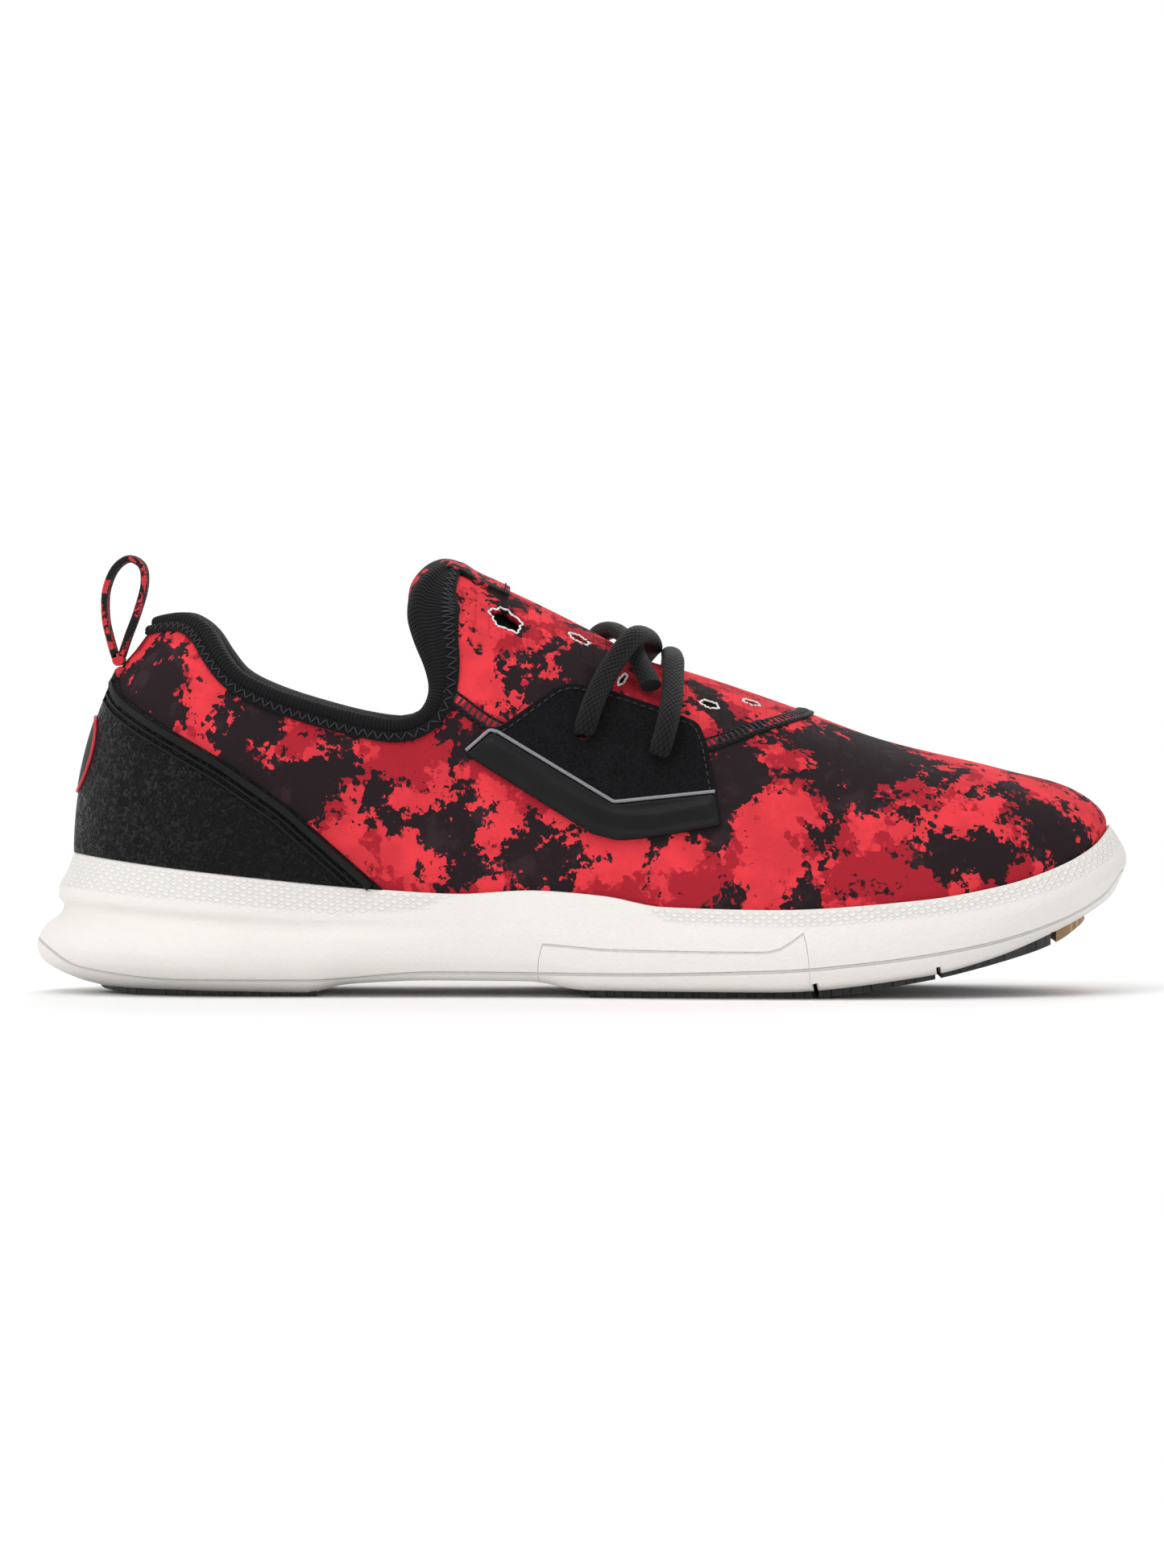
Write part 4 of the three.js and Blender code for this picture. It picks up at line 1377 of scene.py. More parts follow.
second_parting = graph([(-10, 14.6), (9, 13.2), (49, 12.8), (52, 13.3), (61, 19)])
band_depth = graph([(-150, 9), (-80, 8), (-45, 5), (-34, 0.5), (15, 0.5), (24, 4.2), (150, 4.8)])
NOTCH_PLACES = (63.1, 96.4, 128.6)


def sole_side(row, x):
    """How far out one row of the sole stands at x."""
    heel = (1 - smooth(x, -150, -30)) ** 0.8
    toe = smooth(x, 95, 144)
    ball = smooth(x, -10, 35)
    middle = row[2] * (1 - ball) + row[3] * ball
    return row[1] * heel + (middle * (1 - toe) + row[4] * toe) * (1 - heel)


def line_distance(points, line):
    """The distance in side view from points to a line of x, z pairs."""
    nearest = np.full(len(points), 1e9)
    for (ax, az), (bx, bz) in zip(line, line[1:]):
        run = (bx - ax, bz - az)
        t = np.clip(
            ((points[:, 0] - ax) * run[0] + (points[:, 2] - az) * run[1]) / (run[0] ** 2 + run[1] ** 2), 0, 1
        )
        gap = np.hypot(points[:, 0] - ax - t * run[0], points[:, 2] - az - t * run[1])
        nearest = np.minimum(nearest, gap)
    return nearest


def cap_faces(start, count, facing_up):
    """Strips across a ring of points, from one side of the shoe to the other."""
    faces = []
    for i in range(count // 2):
        corners = [i, i + 1, (count - i - 1) % count, (count - i) % count]
        face = tuple(dict.fromkeys(start + c for c in corners))
        faces.append(face if facing_up else tuple(reversed(face)))
    return faces


def sole_rings(count):
    """The midsole's rings: down the outside, then its bed, from the bottom of the bed up."""
    foot, out = feather_at(stations(count))
    high = feather_height(foot[:, 0])
    low = sole_bottom(foot[:, 0])
    rows = np.array(SOLE_ROWS)
    drops = np.concatenate([np.linspace(0, 0.3, 9), np.linspace(0.325, 0.9, 28), [0.93, 0.965, 1]])
    columns = [graph(list(zip(rows[:, 0], rows[:, k]))) for k in range(1, 5)]
    bed = []
    for share in (1, 0.85, 0.6, 0.3, 0.08):
        angle = share * BELOW_SWEEP
        tuck = BOTTOM_INSET * (1 - math.cos(angle)) / (1 - math.cos(BELOW_SWEEP))
        drop = math.sin(angle) / math.sin(BELOW_SWEEP)
        plan = foot + out * (0.3 - tuck)
        floor = floor_height(plan[:, 0]) - 0.5
        bed.append(np.column_stack([plan, high + (floor - high) * drop]))
    lip = foot + out * 0.55
    bed.append(np.column_stack([lip, high - 0.25]))
    lip = foot + out * 0.9
    bed.append(np.column_stack([lip, high + 0.02]))
    side = []
    for drop in drops:
        row = (drop, *(float(column(drop)) for column in columns))
        plan = foot + out * sole_side(row, foot[:, 0])[:, None]
        side.append(np.column_stack([plan, high - (high - low) * drop]))
    side[0][:, 2] -= 0.15
    return np.array(bed + side), foot


class TRAINER_OT_sole(bpy.types.Operator):
    """Moulds the foam midsole and gives the lasting board and the rubber tread pads their finishes"""

    bl_idname = "trainer.sole"
    bl_label = "Sole"

    def execute(self, context):
        self.midsole()
        self.board()
        for node in ("heel_pad", "forefoot_pad_rear", "forefoot_pad_middle", "forefoot_pad_front", "toe_pad"):
            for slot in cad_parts[node].material_slots:
                # Every pad but the toe pad takes the darkened rubber, painted shade for the shadow under the
                # sole.
                slot.material = finish_named("gum" if node == "toe_pad" else "dark_rubber")
        return {"FINISHED"}

    def midsole(self):
        count = 320
        rings, foot = sole_rings(count)
        flat = rings.reshape(-1, 3)
        faces = grid_faces(len(rings), count, True)
        arc = np.concatenate([[0], np.cumsum(np.linalg.norm(np.diff(foot, axis=0), axis=1))])
        arc = np.append(arc, arc[-1] + np.linalg.norm(foot[0] - foot[-1]))
        depth = (feather_height(foot[:, 0])[None, :] - rings[..., 2]).reshape(-1)
        uvs = []
        for face in faces:
            i = face[0] % count
            for corner, point in zip((i, i, i + 1, i + 1), face):
                uvs.append((arc[corner], depth[point]))
        faces = [tuple(reversed(face)) for face in faces]
        uvs = [uv for k in range(0, len(uvs), 4) for uv in reversed(uvs[k : k + 4])]
        for start, facing_up in ((0, True), ((len(rings) - 1) * count, False)):
            caps = cap_faces(start, count, not facing_up)
            faces += caps
            for cap in caps:
                uvs += [(p[0], p[1]) for p in flat[list(cap)]]
        x, z = flat[:, 0], flat[:, 2]
        band = (1 - smooth(depth, band_depth(x) - 0.5, band_depth(x) + 0.3)) * smooth(depth, 0.4, 1.0)
        outer = np.tile(np.arange(len(rings))[:, None] > 7, (1, count)).reshape(-1)
        parting = np.where(outer, z - parting_height(x), 9)
        seam = np.where(outer & (x > -11) & (x < 61), z - second_parting(x), 9)
        values = {"band": band * (depth > 0) * outer, "parting": parting, "seam": seam}
        piece = finish_piece(
            "midsole_foam",
            flat,
            faces,
            finish_named("sole_foam"),
            "shoe",
            ["midsole"],
            np.array(uvs) * MM,
            values,
        )
        self.notches(piece)
        crisp(piece, 50)

    def notches(self, piece):
        """Cuts the flex notches up into the sole's edge."""
        for x in NOTCH_PLACES:
            bpy.ops.object.select_all(action="DESELECT")
            z = float(sole_bottom(x))
            bpy.ops.mesh.primitive_cube_add(size=1, location=(x * MM, 0, z * MM))
            cutter = bpy.context.object
            cutter.scale = (1.1 * MM, 0.2, 4.4 * MM)
            cutter.rotation_euler = (0, math.radians(-14), 0)
            alone(piece)
            modifier = piece.modifiers.new("notch", "BOOLEAN")
            modifier.operation = "DIFFERENCE"
            modifier.solver = "EXACT"
            modifier.object = cutter
            bpy.ops.object.modifier_apply(modifier=modifier.name)
            bpy.data.objects.remove(cutter)

    def board(self):
        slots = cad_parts["lasting_board"].material_slots
        for slot in slots:
            slot.material = finish_named("board")


# ---------------------------------------------------------------- inside the shoe
def across_grid(inset, height, count=200, columns=24):
    """A surface across the shoe inside the feather line, its height given by a function."""
    foot, out = feather_at(stations(count))
    edge = foot - out * inset
    half = count // 2
    near, far = edge[: half + 1], edge[(count - np.arange(half + 1)) % count]
    share = np.linspace(0, 1, columns)
    plan = near[:, None] * (1 - share)[None, :, None] + far[:, None] * share[None, :, None]
    width = np.linalg.norm(far - near, axis=1)[:, None]
    edge_gap = np.minimum(share, 1 - share)[None, :] * width
    plan = plan.reshape(-1, 2)
    points = np.column_stack([plan, height(plan[:, 0], edge_gap.reshape(-1))])
    place = np.arange(len(points)).reshape(half + 1, columns)
    place[0] = place[0, 0]
    place[-1] = place[-1, 0]
    flat = place.reshape(-1)
    faces = []
    for face in grid_faces(half + 1, columns, False):
        joined = tuple(dict.fromkeys(int(flat[i]) for i in reversed(face)))
        if len(joined) > 2:
            faces.append(tuple(reversed(joined)))
    shape = Shape(points, np.tile([0.0, 0.0, 1.0], (len(points), 1)), faces)
    shape.values["gap"] = edge_gap.reshape(-1)
    return shape.cut(np.ones(len(points)))


class TRAINER_OT_footbed(bpy.types.Operator):
    """Lays the foam footbed and its textile cover"""

    bl_idname = "trainer.footbed"
    bl_label = "Footbed"

    def execute(self, context):
        def top(x, gap):
            cup = 1.6 * (1 - smooth(gap, 0, 9)) * (1 - smooth(x, -60, 40))
            return floor_height(x) + 8.4 + cup

        cover = across_grid(9.3, top)
        points, faces, _ = slab(cover, 0.0, -1.2)
        piece = finish_piece(
            "footbed_cover_cloth",
            points,
            faces,
            finish_named("knit"),
            "footbed",
            ["footbed_cover"],
        )
        crisp(piece, 50)
        bed = across_grid(10.2, lambda x, _: floor_height(x) + 7.1)
        points, faces, _ = slab(bed, -0.02, -4.9)
        piece = finish_piece(
            "footbed_foam_sheet", points, faces, finish_named("foam"), "footbed", ["footbed_foam"]
        )
        crisp(piece, 50)
        return {"FINISHED"}


COUNTER_ZONE = [(-150, 10), (-60, 10), (-62, 34), (-80, 52), (-108, 70), (-150, 76)]
PUFF_ZONE = [(104, 5), (150, 5), (150, 80), (97, 80)]


class TRAINER_OT_inner_layers(bpy.types.Operator):
    """Fits the lining, the collar padding, the heel counter and the toe puff"""

    bl_idname = "trainer.inner_layers"
    bl_label = "Inner layers"

    def execute(self, context):
        wall = skin.cut(-above_rim(skin, 2.6))
        above_floor = wall.z - floor_height(wall.x) - 2.4
        wall = wall.cut(above_floor)
        bulge = pad_bulge(wall.points)
        points, faces, _ = slab(wall, -4.0 - bulge, -5.0 - bulge)
        finish_piece("lining_knit", points, faces, finish_named("knit"), "shoe", ["lining"])

        top = wall.cut(18 - (rim_height(wall.x) - wall.z))
        top = top.cut(-57.5 - top.x)
        under = rim_height(top.x) - top.z
        edge = np.minimum(smooth(under, 18.2, 12), smooth(top.x, -57, -64))
        bulge = pad_bulge(top.points)
        points, faces, _ = slab(top, -2.5, -2.8 - (0.9 + bulge) * np.clip(edge, 0, 1))
        pad = finish_piece(
            "collar_padding_foam", points, faces, finish_named("foam"), "shoe", ["collar_padding"]
        )

        for name, zone in (("heel_counter", COUNTER_ZONE), ("toe_puff", PUFF_ZONE)):
            part = wall.cut(inside(zone, wall.x, wall.z))
            points, faces, _ = slab(part, -2.5, -3.7)
            finish = finish_named("stiffener")
            finish_piece(f"{name}_sheet", points, faces, finish, "shoe", [name])
        return {"FINISHED"}


# ---------------------------------------------------------------- upper
# Punched slits in side view: x, z, length, width, tilt. The last is on the outer side only.
SLIT_OVALS = [
    (-20.8, 102.3, 9.6, 4.6, -0.55),
    (-0.8, 97.0, 6.2, 1.5, -0.5),
    (11, 86, 3.6, 1.5, 0.9),
    (34.7, 79.2, 5.2, 1.7, -0.3),
    (46.2, 79.6, 4.8, 1.1, -0.3),
]
SLITS = [(-1, *oval) for oval in SLIT_OVALS] + [(1, *oval) for oval in SLIT_OVALS[:-1]]
RING_POINTS = 40


def ragged_edge(turn, x, z):
    """How far a slit's torn edge stands from its oval, as a share, at each turn around it."""
    return 1 + 0.10 * np.sin(5 * turn + x) + 0.07 * np.sin(11 * turn + z)


def slit_outline(slit, count):
    """The side-view points x, z of a slit's ragged oval."""
    _, x, z, length, width, tilt = slit
    turn = np.linspace(0, 2 * math.pi, count, endpoint=False)
    ragged = ragged_edge(turn, x, z)
    a, b = ragged * np.cos(turn) * length / 2, ragged * np.sin(turn) * width / 2
    across = x + a * math.cos(tilt) - b * math.sin(tilt)
    upward = z + a * math.sin(tilt) + b * math.cos(tilt)
    return np.stack([across, upward], axis=1)


def slit_gap(shape, slit):
    """How far points lie outside a slit's ragged oval outline, drawn in side view."""
    side, x, z, length, width, tilt = slit
    dx, dz = shape.x - x, shape.z - z
    a = (dx * math.cos(tilt) + dz * math.sin(tilt)) / (length / 2)
    b = (dz * math.cos(tilt) - dx * math.sin(tilt)) / (width / 2)
    turn = np.arctan2(b, a)
    ragged = ragged_edge(turn, x, z)
    gap = (np.hypot(a, b) - ragged) * width / 2
    return np.where(shape.y * side > 0, gap, 9.0)


def refined_near(shape, test, size):
    """Splits the faces close to a place so that a small cut there comes out smooth."""
    points, normals, faces = list(map(tuple, shape.points)), list(map(tuple, shape.normals)), []
    close = test(shape)
    parts = 6
    for face in shape.faces:
        if len(face) != 4 or all(close[i] > size for i in face):
            faces.append(face)
            continue
        corners = np.array([points[i] for i in face])
        directions = np.array([normals[i] for i in face])
        start = len(points)
        for v in np.linspace(0, 1, parts + 1):
            for u in np.linspace(0, 1, parts + 1):
                w = np.array([(1 - u) * (1 - v), (1 - u) * v, u * v, u * (1 - v)])
                points.append(tuple(w @ corners))
                normals.append(tuple(w @ directions))
        for j in range(parts):
            for i in range(parts):
                a = start + j * (parts + 1) + i
                faces.append((a, a + parts + 1, a + parts + 2, a + 1))
    return Shape(np.array(points), unit(np.array(normals)), faces)


class TRAINER_OT_upper(bpy.types.Operator):
    """Cuts the printed quarter and vamp and the throat panel with its slits"""

    bl_idname = "trainer.upper"
    bl_label = "Upper"

    def execute(self, context):
        wall = skin.cut(-above_rim(skin, 2.6))
        wall = wall.cut(wall.z - feather_height(wall.x) + 5)
        quarter = wall.cut(-above_throat(wall) - 0.25)
        puff = self.puff(quarter)
        points, faces, _ = slab(quarter, puff, -2.2)
        finish_piece(
            "quarter_and_vamp_fabric",
            points,
            faces,
            finish_named("print_fabric"),
            "shoe",
            ["quarter_and_vamp"],
        )
        panel = wall.cut(above_throat(wall) - 0.25)
        panel = refined_near(panel, lambda s: np.min([slit_gap(s, slit) for slit in SLITS], axis=0), 3.0)
        edges = Bundle()
        for slit in SLITS:
            panel = panel.cut(slit_gap(panel, slit))
            ring, out = from_side(slit_outline(slit, RING_POINTS), slit[0])
            ups = np.tile(unit(out.mean(axis=0)), (RING_POINTS, 1))
            fray = (0.1 + 0.15 * np.sin(np.arange(RING_POINTS) * 2.4))[:, None] * ups
            edges.add(tube(ring + fray, 0.62, 0.5, ups, sides=6, closed=True), closed=True)
        points, faces, _ = slab(panel, 0.0, -2.2)
        finish_piece(
            "throat_panel_fabric",
            points,
            faces,
            finish_named("print_fabric"),
            "shoe",
            ["throat_panel"],
        )
        edges.piece("throat_slit_edges", finish_named("raw_edge"), "shoe", "print_fabric")
        return {"FINISHED"}

    def puff(self, quarter):
        """The padded swell of the fabric under the collar, drawn in at the binding's stitching."""
        under = -above_rim(quarter, 0)
        swell = 0.9 * smooth(under, 6, 12) * (1 - smooth(under, 14, 30))
        return swell * (1 - smooth(quarter.x, -70, -45))


def ribbon(line, ups, width, crown, thickness, columns=9):
    """A low crowned ribbon lying on the upper, as rings of points."""
    _, across, _ = frames_along(line, ups)
    share = np.linspace(-1, 1, columns)
    top = line[:, None] + across[:, None] * (share * width / 2)[None, :, None]
    flat = top.reshape(-1, 3)
    base, normals = (found.reshape(len(line), columns, 3) for found in snapped(flat))
    height = thickness * 0.55 + crown * (1 - share**4)
    lifted = base + normals * height[None, :, None]
    sunk = base - normals * thickness * 0.5
    return np.concatenate([lifted, sunk[:, ::-1]], axis=1)


class TRAINER_OT_throat_seam(bpy.types.Operator):
    """Sews the flatlock seam around the throat panel"""

    bl_idname = "trainer.throat_seam"
    bl_label = "Throat seam"

    def execute(self, context):
        width = context.scene.trainer_sizes.seam_width / MM
        wall = skin.cut(-above_rim(skin, 3.2))
        panel = wall.cut(above_throat(wall))
        path = evenly(panel.points[panel.line], 300)
        line, ups = snapped(path)
        _, across, out = frames_along(line, ups)
        bundle = Bundle()
        bundle.add(ribbon(line, out, width, 0.28, 0.5))
        below = line + across * width * 0.42
        downward = 1.0 if (above_throat(Shape(below, below, [])) < 0).mean() > 0.5 else -1.0
        piece = bundle.piece(
            "throat_seam_tape", finish_named("print_fabric"), "shoe", "print_fabric", ["throat_seam"]
        )
        crisp(piece, 60)
        cords = Bundle()
        for offset, thick in ((0.46, 1.5), (-0.5, 0.8)):
            place, up = snapped(line + across * downward * width * offset)
            cords.add(tube(place + up * 0.4, thick, thick * 0.75, up, sides=8))
        cords.piece("throat_seam_cords", finish_named("lace_cord"), "shoe", "black_textile")
        threads = Bundle()
        steps = int(length_of(line) / 1.7)
        for mark in evenly(np.hstack([line, out, across]), steps):
            spot, up, side = mark[:3], unit(mark[3:6]), unit(mark[6:9])
            spot = spot + up * 0.5
            threads.stitch(spot - side * width * 0.5, spot + side * width * 0.5, up, 0.65, 0.35)
        threads.piece("throat_seam_stitches", finish_named("thread"), "shoe", "black_textile")
        return {"FINISHED"}


# ---------------------------------------------------------------- collar
def rim_line(count):
    """The rim of the foot opening in space, its outward hints, starting behind the heel."""
    part = skin.cut(-above_rim(skin, 0))
    loop = evenly(part.points[part.line], count * 4, closed=True)
    for _ in range(6):
        loop = (np.roll(loop, 1, axis=0) + 2 * loop + np.roll(loop, -1, axis=0)) / 4
    loop = evenly(loop, count, closed=True)
    start = int(np.argmin(loop[:, 0] + np.abs(loop[:, 1])))
    loop = np.roll(loop, -start, axis=0)
    if loop[5, 1] > 0:
        loop = np.roll(loop[::-1], 1, axis=0)
    _, out = snapped(loop)
    return loop, out


def round_the_loop(values, times):
    for _ in range(times):
        values = (np.roll(values, 1, axis=0) + 2 * values + np.roll(values, -1, axis=0)) / 4
    return values


class TRAINER_OT_collar_binding(bpy.types.Operator):
    """Wraps the elastic binding around the collar and zigzags it down"""

    bl_idname = "trainer.collar_binding"
    bl_label = "Collar binding"

    def execute(self, context):
        sizes = context.scene.trainer_sizes
        loop, out = rim_line(420)
        out = unit(round_the_loop(out, 4))
        _, across, out = frames_along(loop, out, closed=True)
        middle = loop.mean(axis=0) + [0, 0, 40]
        rise = across * np.sign(((middle - loop) * across).sum(axis=1).mean())
        rise = unit(round_the_loop(rise, 4))
        on_tongue = smooth(loop[:, 0], -60, -46) * smooth(loop[:, 2], 80, 90)
        reach = np.clip(-33 - loop[:, 0], 6, 13)
        depth = sizes.binding_depth / MM * (1 - on_tongue) + reach * on_tongue
        depth = round_the_loop(depth, 8)
        inner = 5.0 + round_the_loop(pad_bulge(loop), 6)
        rings = self.rings(loop, out, rise, depth, inner)
        points, faces, uvs = sweep(rings, closed=True)
        piece = finish_piece(
            "collar_binding_tape",
            points,
            faces,
            finish_named("tape"),
            "shoe",
            ["collar_binding"],
            uvs,
        )
        crisp(piece, 60)
        self.zigzags(sizes, loop, rise, depth)
        return {"FINISHED"}

    def rings(self, loop, out, rise, depth, inner):
        """The tape's section at each step: outer leg, roll over the rim, inner leg and its core."""
        outer = [(0.2, -1.0, 0), (0.75, -1.01, 0), (1.0, -0.96, 0), (1.12, -0.75, 0), (1.05, -0.56, 0.1)]
        outer += [(0.8, 0, -3.05), (1.3, 0, -2.6), (1.75, 0, -1.9), (1.8, 0, -1.2), (1.45, 0, -0.4)]
        sections = []
        for height, share, fixed in outer:
            sections.append(self.leg(loop, rise, depth * share + fixed, np.full(len(loop), height)))
        for forward, upward in ((0.75, 0.25), (-0.25, 0.62)):
            sections.append(loop + out * forward + rise * upward)
        for share in (0.25, 0.5, 0.75):
            crown = 0.62 + 0.5 * math.sin(share * math.pi)
            sections.append(loop - out * (inner * share)[:, None] + rise * crown)
        sections.append(loop - out * (inner - 0.2)[:, None] + rise * 0.6)
        sections.append(loop - out * (inner + 0.8)[:, None] + rise * 0.2)
        for extra, fixed in ((1.7, -0.7), (1.95, -1.6), (1.7, -2.5), (1.25, -3.1)):
            sections.append(self.leg(loop, rise, np.full(len(loop), fixed), -inner - extra))
        for extra, share in ((1.3, -0.7), (1.2, -0.95), (0.8, -1.0), (0.25, -1.0)):
            sections.append(self.leg(loop, rise, 6.0 * np.full(len(loop), share), -inner - extra))
        sections.append(self.leg(loop, rise, np.full(len(loop), -2.6), -inner - 0.1))
        sections.append(self.leg(loop, rise, np.full(len(loop), -2.6), np.full(len(loop), 0.1)))
        return np.stack(sections, axis=1)[:, ::-1]

    def leg(self, loop, rise, along_rise, height):
        """Points on the upper at a distance from the rim, lifted off it by height."""
        place, normal = snapped(loop + rise * along_rise[:, None])
        normal = unit(round_the_loop(normal, 3))
        return round_the_loop(place, 2) + normal * height[:, None]

    def zigzags(self, sizes, loop, rise, depth):
        """The zigzag thread along the tape's lower band, narrower and lower where the band runs deep on the
        tongue.
        """
        bundle = Bundle()
        thick = sizes.thread_width / MM
        pitch = 2.5
        steps = 2 * int(length_of(loop) / pitch)
        marks = evenly(np.hstack([loop, rise, depth[:, None]]), 2 * steps, closed=True)
        high, low = -3.5, -0.92
        spots = marks[:, :3] + marks[:, 3:6] * np.where(
            np.arange(2 * steps) % 4 < 2, high, low * marks[:, 6]
        )[:, None]
        narrow = (np.arange(2 * steps) % 4 < 2) & (marks[:, 6] > 7.5)
        spots[narrow] = (marks[:, :3] + marks[:, 3:6] * (0.42 - marks[:, 6])[:, None] * 0.6)[narrow]
        place, normal = snapped(spots)
        line = place + normal * 1.25
        keep = np.arange(0, 2 * steps, 2)
        for k, nxt in zip(keep, np.roll(keep, -1)):
            bundle.stitch(line[k], line[nxt], normal[k], thick, 0.5)
        bundle.piece("collar_binding_zigzag", finish_named("thread"), "shoe", "black_textile")


class TRAINER_OT_tongue_tab(bpy.types.Operator):
    """Folds the printed webbing tab over the top of the tongue"""

    bl_idname = "trainer.tongue_tab"
    bl_label = "Tongue tab"

    # The turn over the rim and down inside the mouth, seen from the side.
    FOLD = [(-47.9, 106), (-47.0, 112.2), (-42.9, 117.2), (-38.5, 119.1), (-35.5, 118.9), (-33, 118)]

    def execute(self, context):
        ys = np.linspace(-9.6, 9.6, 17)
        steps = np.linspace(-33, -19.8, 24)
        rows = np.array([[(x, y, self.height(x, y)) for y in ys] for x in steps])
        lift = 1.3 + 0.9 * (1 - smooth(steps, -33, -28))
        drop = self.height(-34, 0) - np.array([self.height(-34, y) for y in ys])
        fold = [[(x, y, z - d) for y, d in zip(ys, drop)] for x, z in along(self.FOLD, 26)]
        top = np.concatenate([np.array(fold)[:-1], rows + np.array([0, 0, 1.0]) * lift[:, None, None]])
        normal_hint = np.cross(np.gradient(top, axis=0), np.gradient(top, axis=1))
        normal = unit(normal_hint)
        if normal[-5:, :, 2].mean() < 0:
            normal = -normal
        under = top - normal * 1.0
        rings = np.concatenate([top, under[:, ::-1]], axis=1)
        points, faces, uvs = sweep(rings)
        piece = finish_piece(
            "tongue_top_tab_webbing",
            points,
            faces,
            finish_named("webbing"),
            "shoe",
            ["tongue_top_tab"],
            uvs,
        )
        crisp(piece, 50)
        bundle = Bundle()
        thick = context.scene.trainer_sizes.thread_width / MM
        end = rows[-3] + [0, 0, 1.35]
        for k in range(0, 16):
            bundle.stitch(end[k], end[k] * 0.4 + end[k + 1] * 0.6, np.array([0, 0, 1.0]), thick)
        bundle.piece("tongue_top_tab_stitches", finish_named("thread"), "shoe", "black_textile")
        return {"FINISHED"}

    def height(self, x, y):
        hit = skin_tree.ray_cast(Vector((x, y, 200)), Vector((0, 0, -1)))
        return hit[0].z if hit[0] is not None else float(ridge_height(x))


# ---------------------------------------------------------------- heel
class TRAINER_OT_heel_overlay(bpy.types.Operator):
    """Lays the pebbled heel leather, its moulded trim and the oval badge"""

    bl_idname = "trainer.heel_overlay"
    bl_label = "Heel overlay"

    def zone(self, shape, shrink=0.0):
        """How far points lie inside the overlay's outline."""
        outline = [*OVERLAY_EDGE, (-160, 29), (-160, 89.6)]
        body = inside(outline, shape.x, shape.z)
        seat = shape.z - feather_height(shape.x) + 2.0
        return np.minimum(body, seat) - shrink

    def execute(self, context):
        sizes = context.scene.trainer_sizes
        patch = window(-0.19, 0.19, 0, 0.86, 340, 120)
        patch = patch.cut(self.edge_depth(patch))
        patch = patch.cut(patch.z - feather_height(patch.x) + 0.5)
        patch = edged(patch, self.edge_depth, (0.15, 0.4, 0.9))
        wall = sizes.overlay_wall / MM
        height = 0.3 + rounded(self.edge_depth(patch), wall, 0.8)
        points, faces, _ = slab(patch, height, 0.05)
        piece = finish_piece(
            "heel_overlay_leather",
            points,
            faces,
            finish_named("leather"),
            "shoe",
            ["heel_overlay"],
        )
        crisp(piece, 60)
        self.trims(sizes, wall)
        self.badge(wall)
        return {"FINISHED"}

    def edge_depth(self, shape):
        """How far points lie below the overlay's upper edge."""
        return inside([*OVERLAY_EDGE, (-53.5, -20), (-170, -20), (-170, 89.6)], shape.x, shape.z)

    def trims(self, sizes, wall):
        width = sizes.trim_width / MM
        edge = evenly(OVERLAY_EDGE, 140)
        for side, suffix in ((-1, "outer"), (1, "inner")):
            ridges = Bundle()
            band = (width / 2 + 0.5, width, 1.0)
            for inset, span, tall in (band, (width + 1.4, 0.9, 0.6), (width + 3.1, 0.9, 0.6)):
                line = self.rounded_corners(moved(edge, inset))
                above = line[:, 1] > feather_height(line[:, 0]) + 0.4
                place, normal = from_side(line[above], side)
                far = np.abs(place[:, 1]) > 2.6
                place, normal = place[far], unit(normal[far])
                _, across, out = frames_along(place, normal)
                share = np.linspace(-1, 1, 7)
                lifts = tall * np.sqrt(np.clip(1 - share**8, 0, 1))
                top = place[:, None] + across[:, None] * (share * span / 2)[None, :, None]
                top = top + out[:, None] * (0.25 + wall + lifts)[None, :, None]
                base = place[:, None] + across[:, None] * (share[::-1] * span / 2)[None, :, None]
                base = base + out[:, None] * 0.4
                ridges.add(np.concatenate([top, base], axis=1))
            piece = ridges.piece(
                f"heel_trim_{suffix}_ridges",
                finish_named("film"),
                "shoe",
                "black_film",
                [f"heel_trim_{suffix}"],
            )
            crisp(piece, 50)

    def rounded_corners(self, line):
        for _ in range(10):
            line[1:-1] = (line[:-2] + 2 * line[1:-1] + line[2:]) / 4
        return line

    def badge(self, wall):
        """A plain oval plate with a raised ring, facing back."""
        centre, tall, wide = 65, 10.6, 9.5
        plate = window(-0.06, 0.06, 0.15, 0.62, 150, 150)
        depth = 1 - np.hypot((plate.z - centre) / (tall - 1.5), plate.y / (wide - 1.5))
        plate = plate.cut(depth * 8)
        low = 0.3 + wall - 0.1
        points, faces, _ = slab(plate, low + 0.55, low - 0.3)
        piece = finish_piece(
            "heel_badge_plate_film",
            points,
            faces,
            finish_named("film"),
            "shoe",
            ["heel_badge_plate"],
        )
        crisp(piece, 40)
        ring = plate_ring(centre, tall - 0.6, wide - 0.6)
        place, normal = ring
        mesh_points, mesh_faces, uvs = sweep(
            tube(place + normal * (low + 0.35), 1.1, 1.0, normal, sides=12, closed=True), closed=True
        )
        finish_piece(
            "heel_badge_ring_print",
            mesh_points,
            mesh_faces,
            finish_named("badge_red"),
            "shoe",
            ["heel_badge_ring"],
            uvs,
        )


def plate_ring(centre, tall, wide):
    """An oval line on the back of the heel."""
    hits = []
    for turn in np.linspace(0, 2 * np.pi, 90, endpoint=False):
        spot = Vector((-250, wide * math.cos(turn), centre + tall * math.sin(turn)))
        hits.append(settled(skin_tree.ray_cast(spot, Vector((1, 0, 0)))))
    return np.array([h[0] for h in hits]), np.array([h[1] for h in hits])


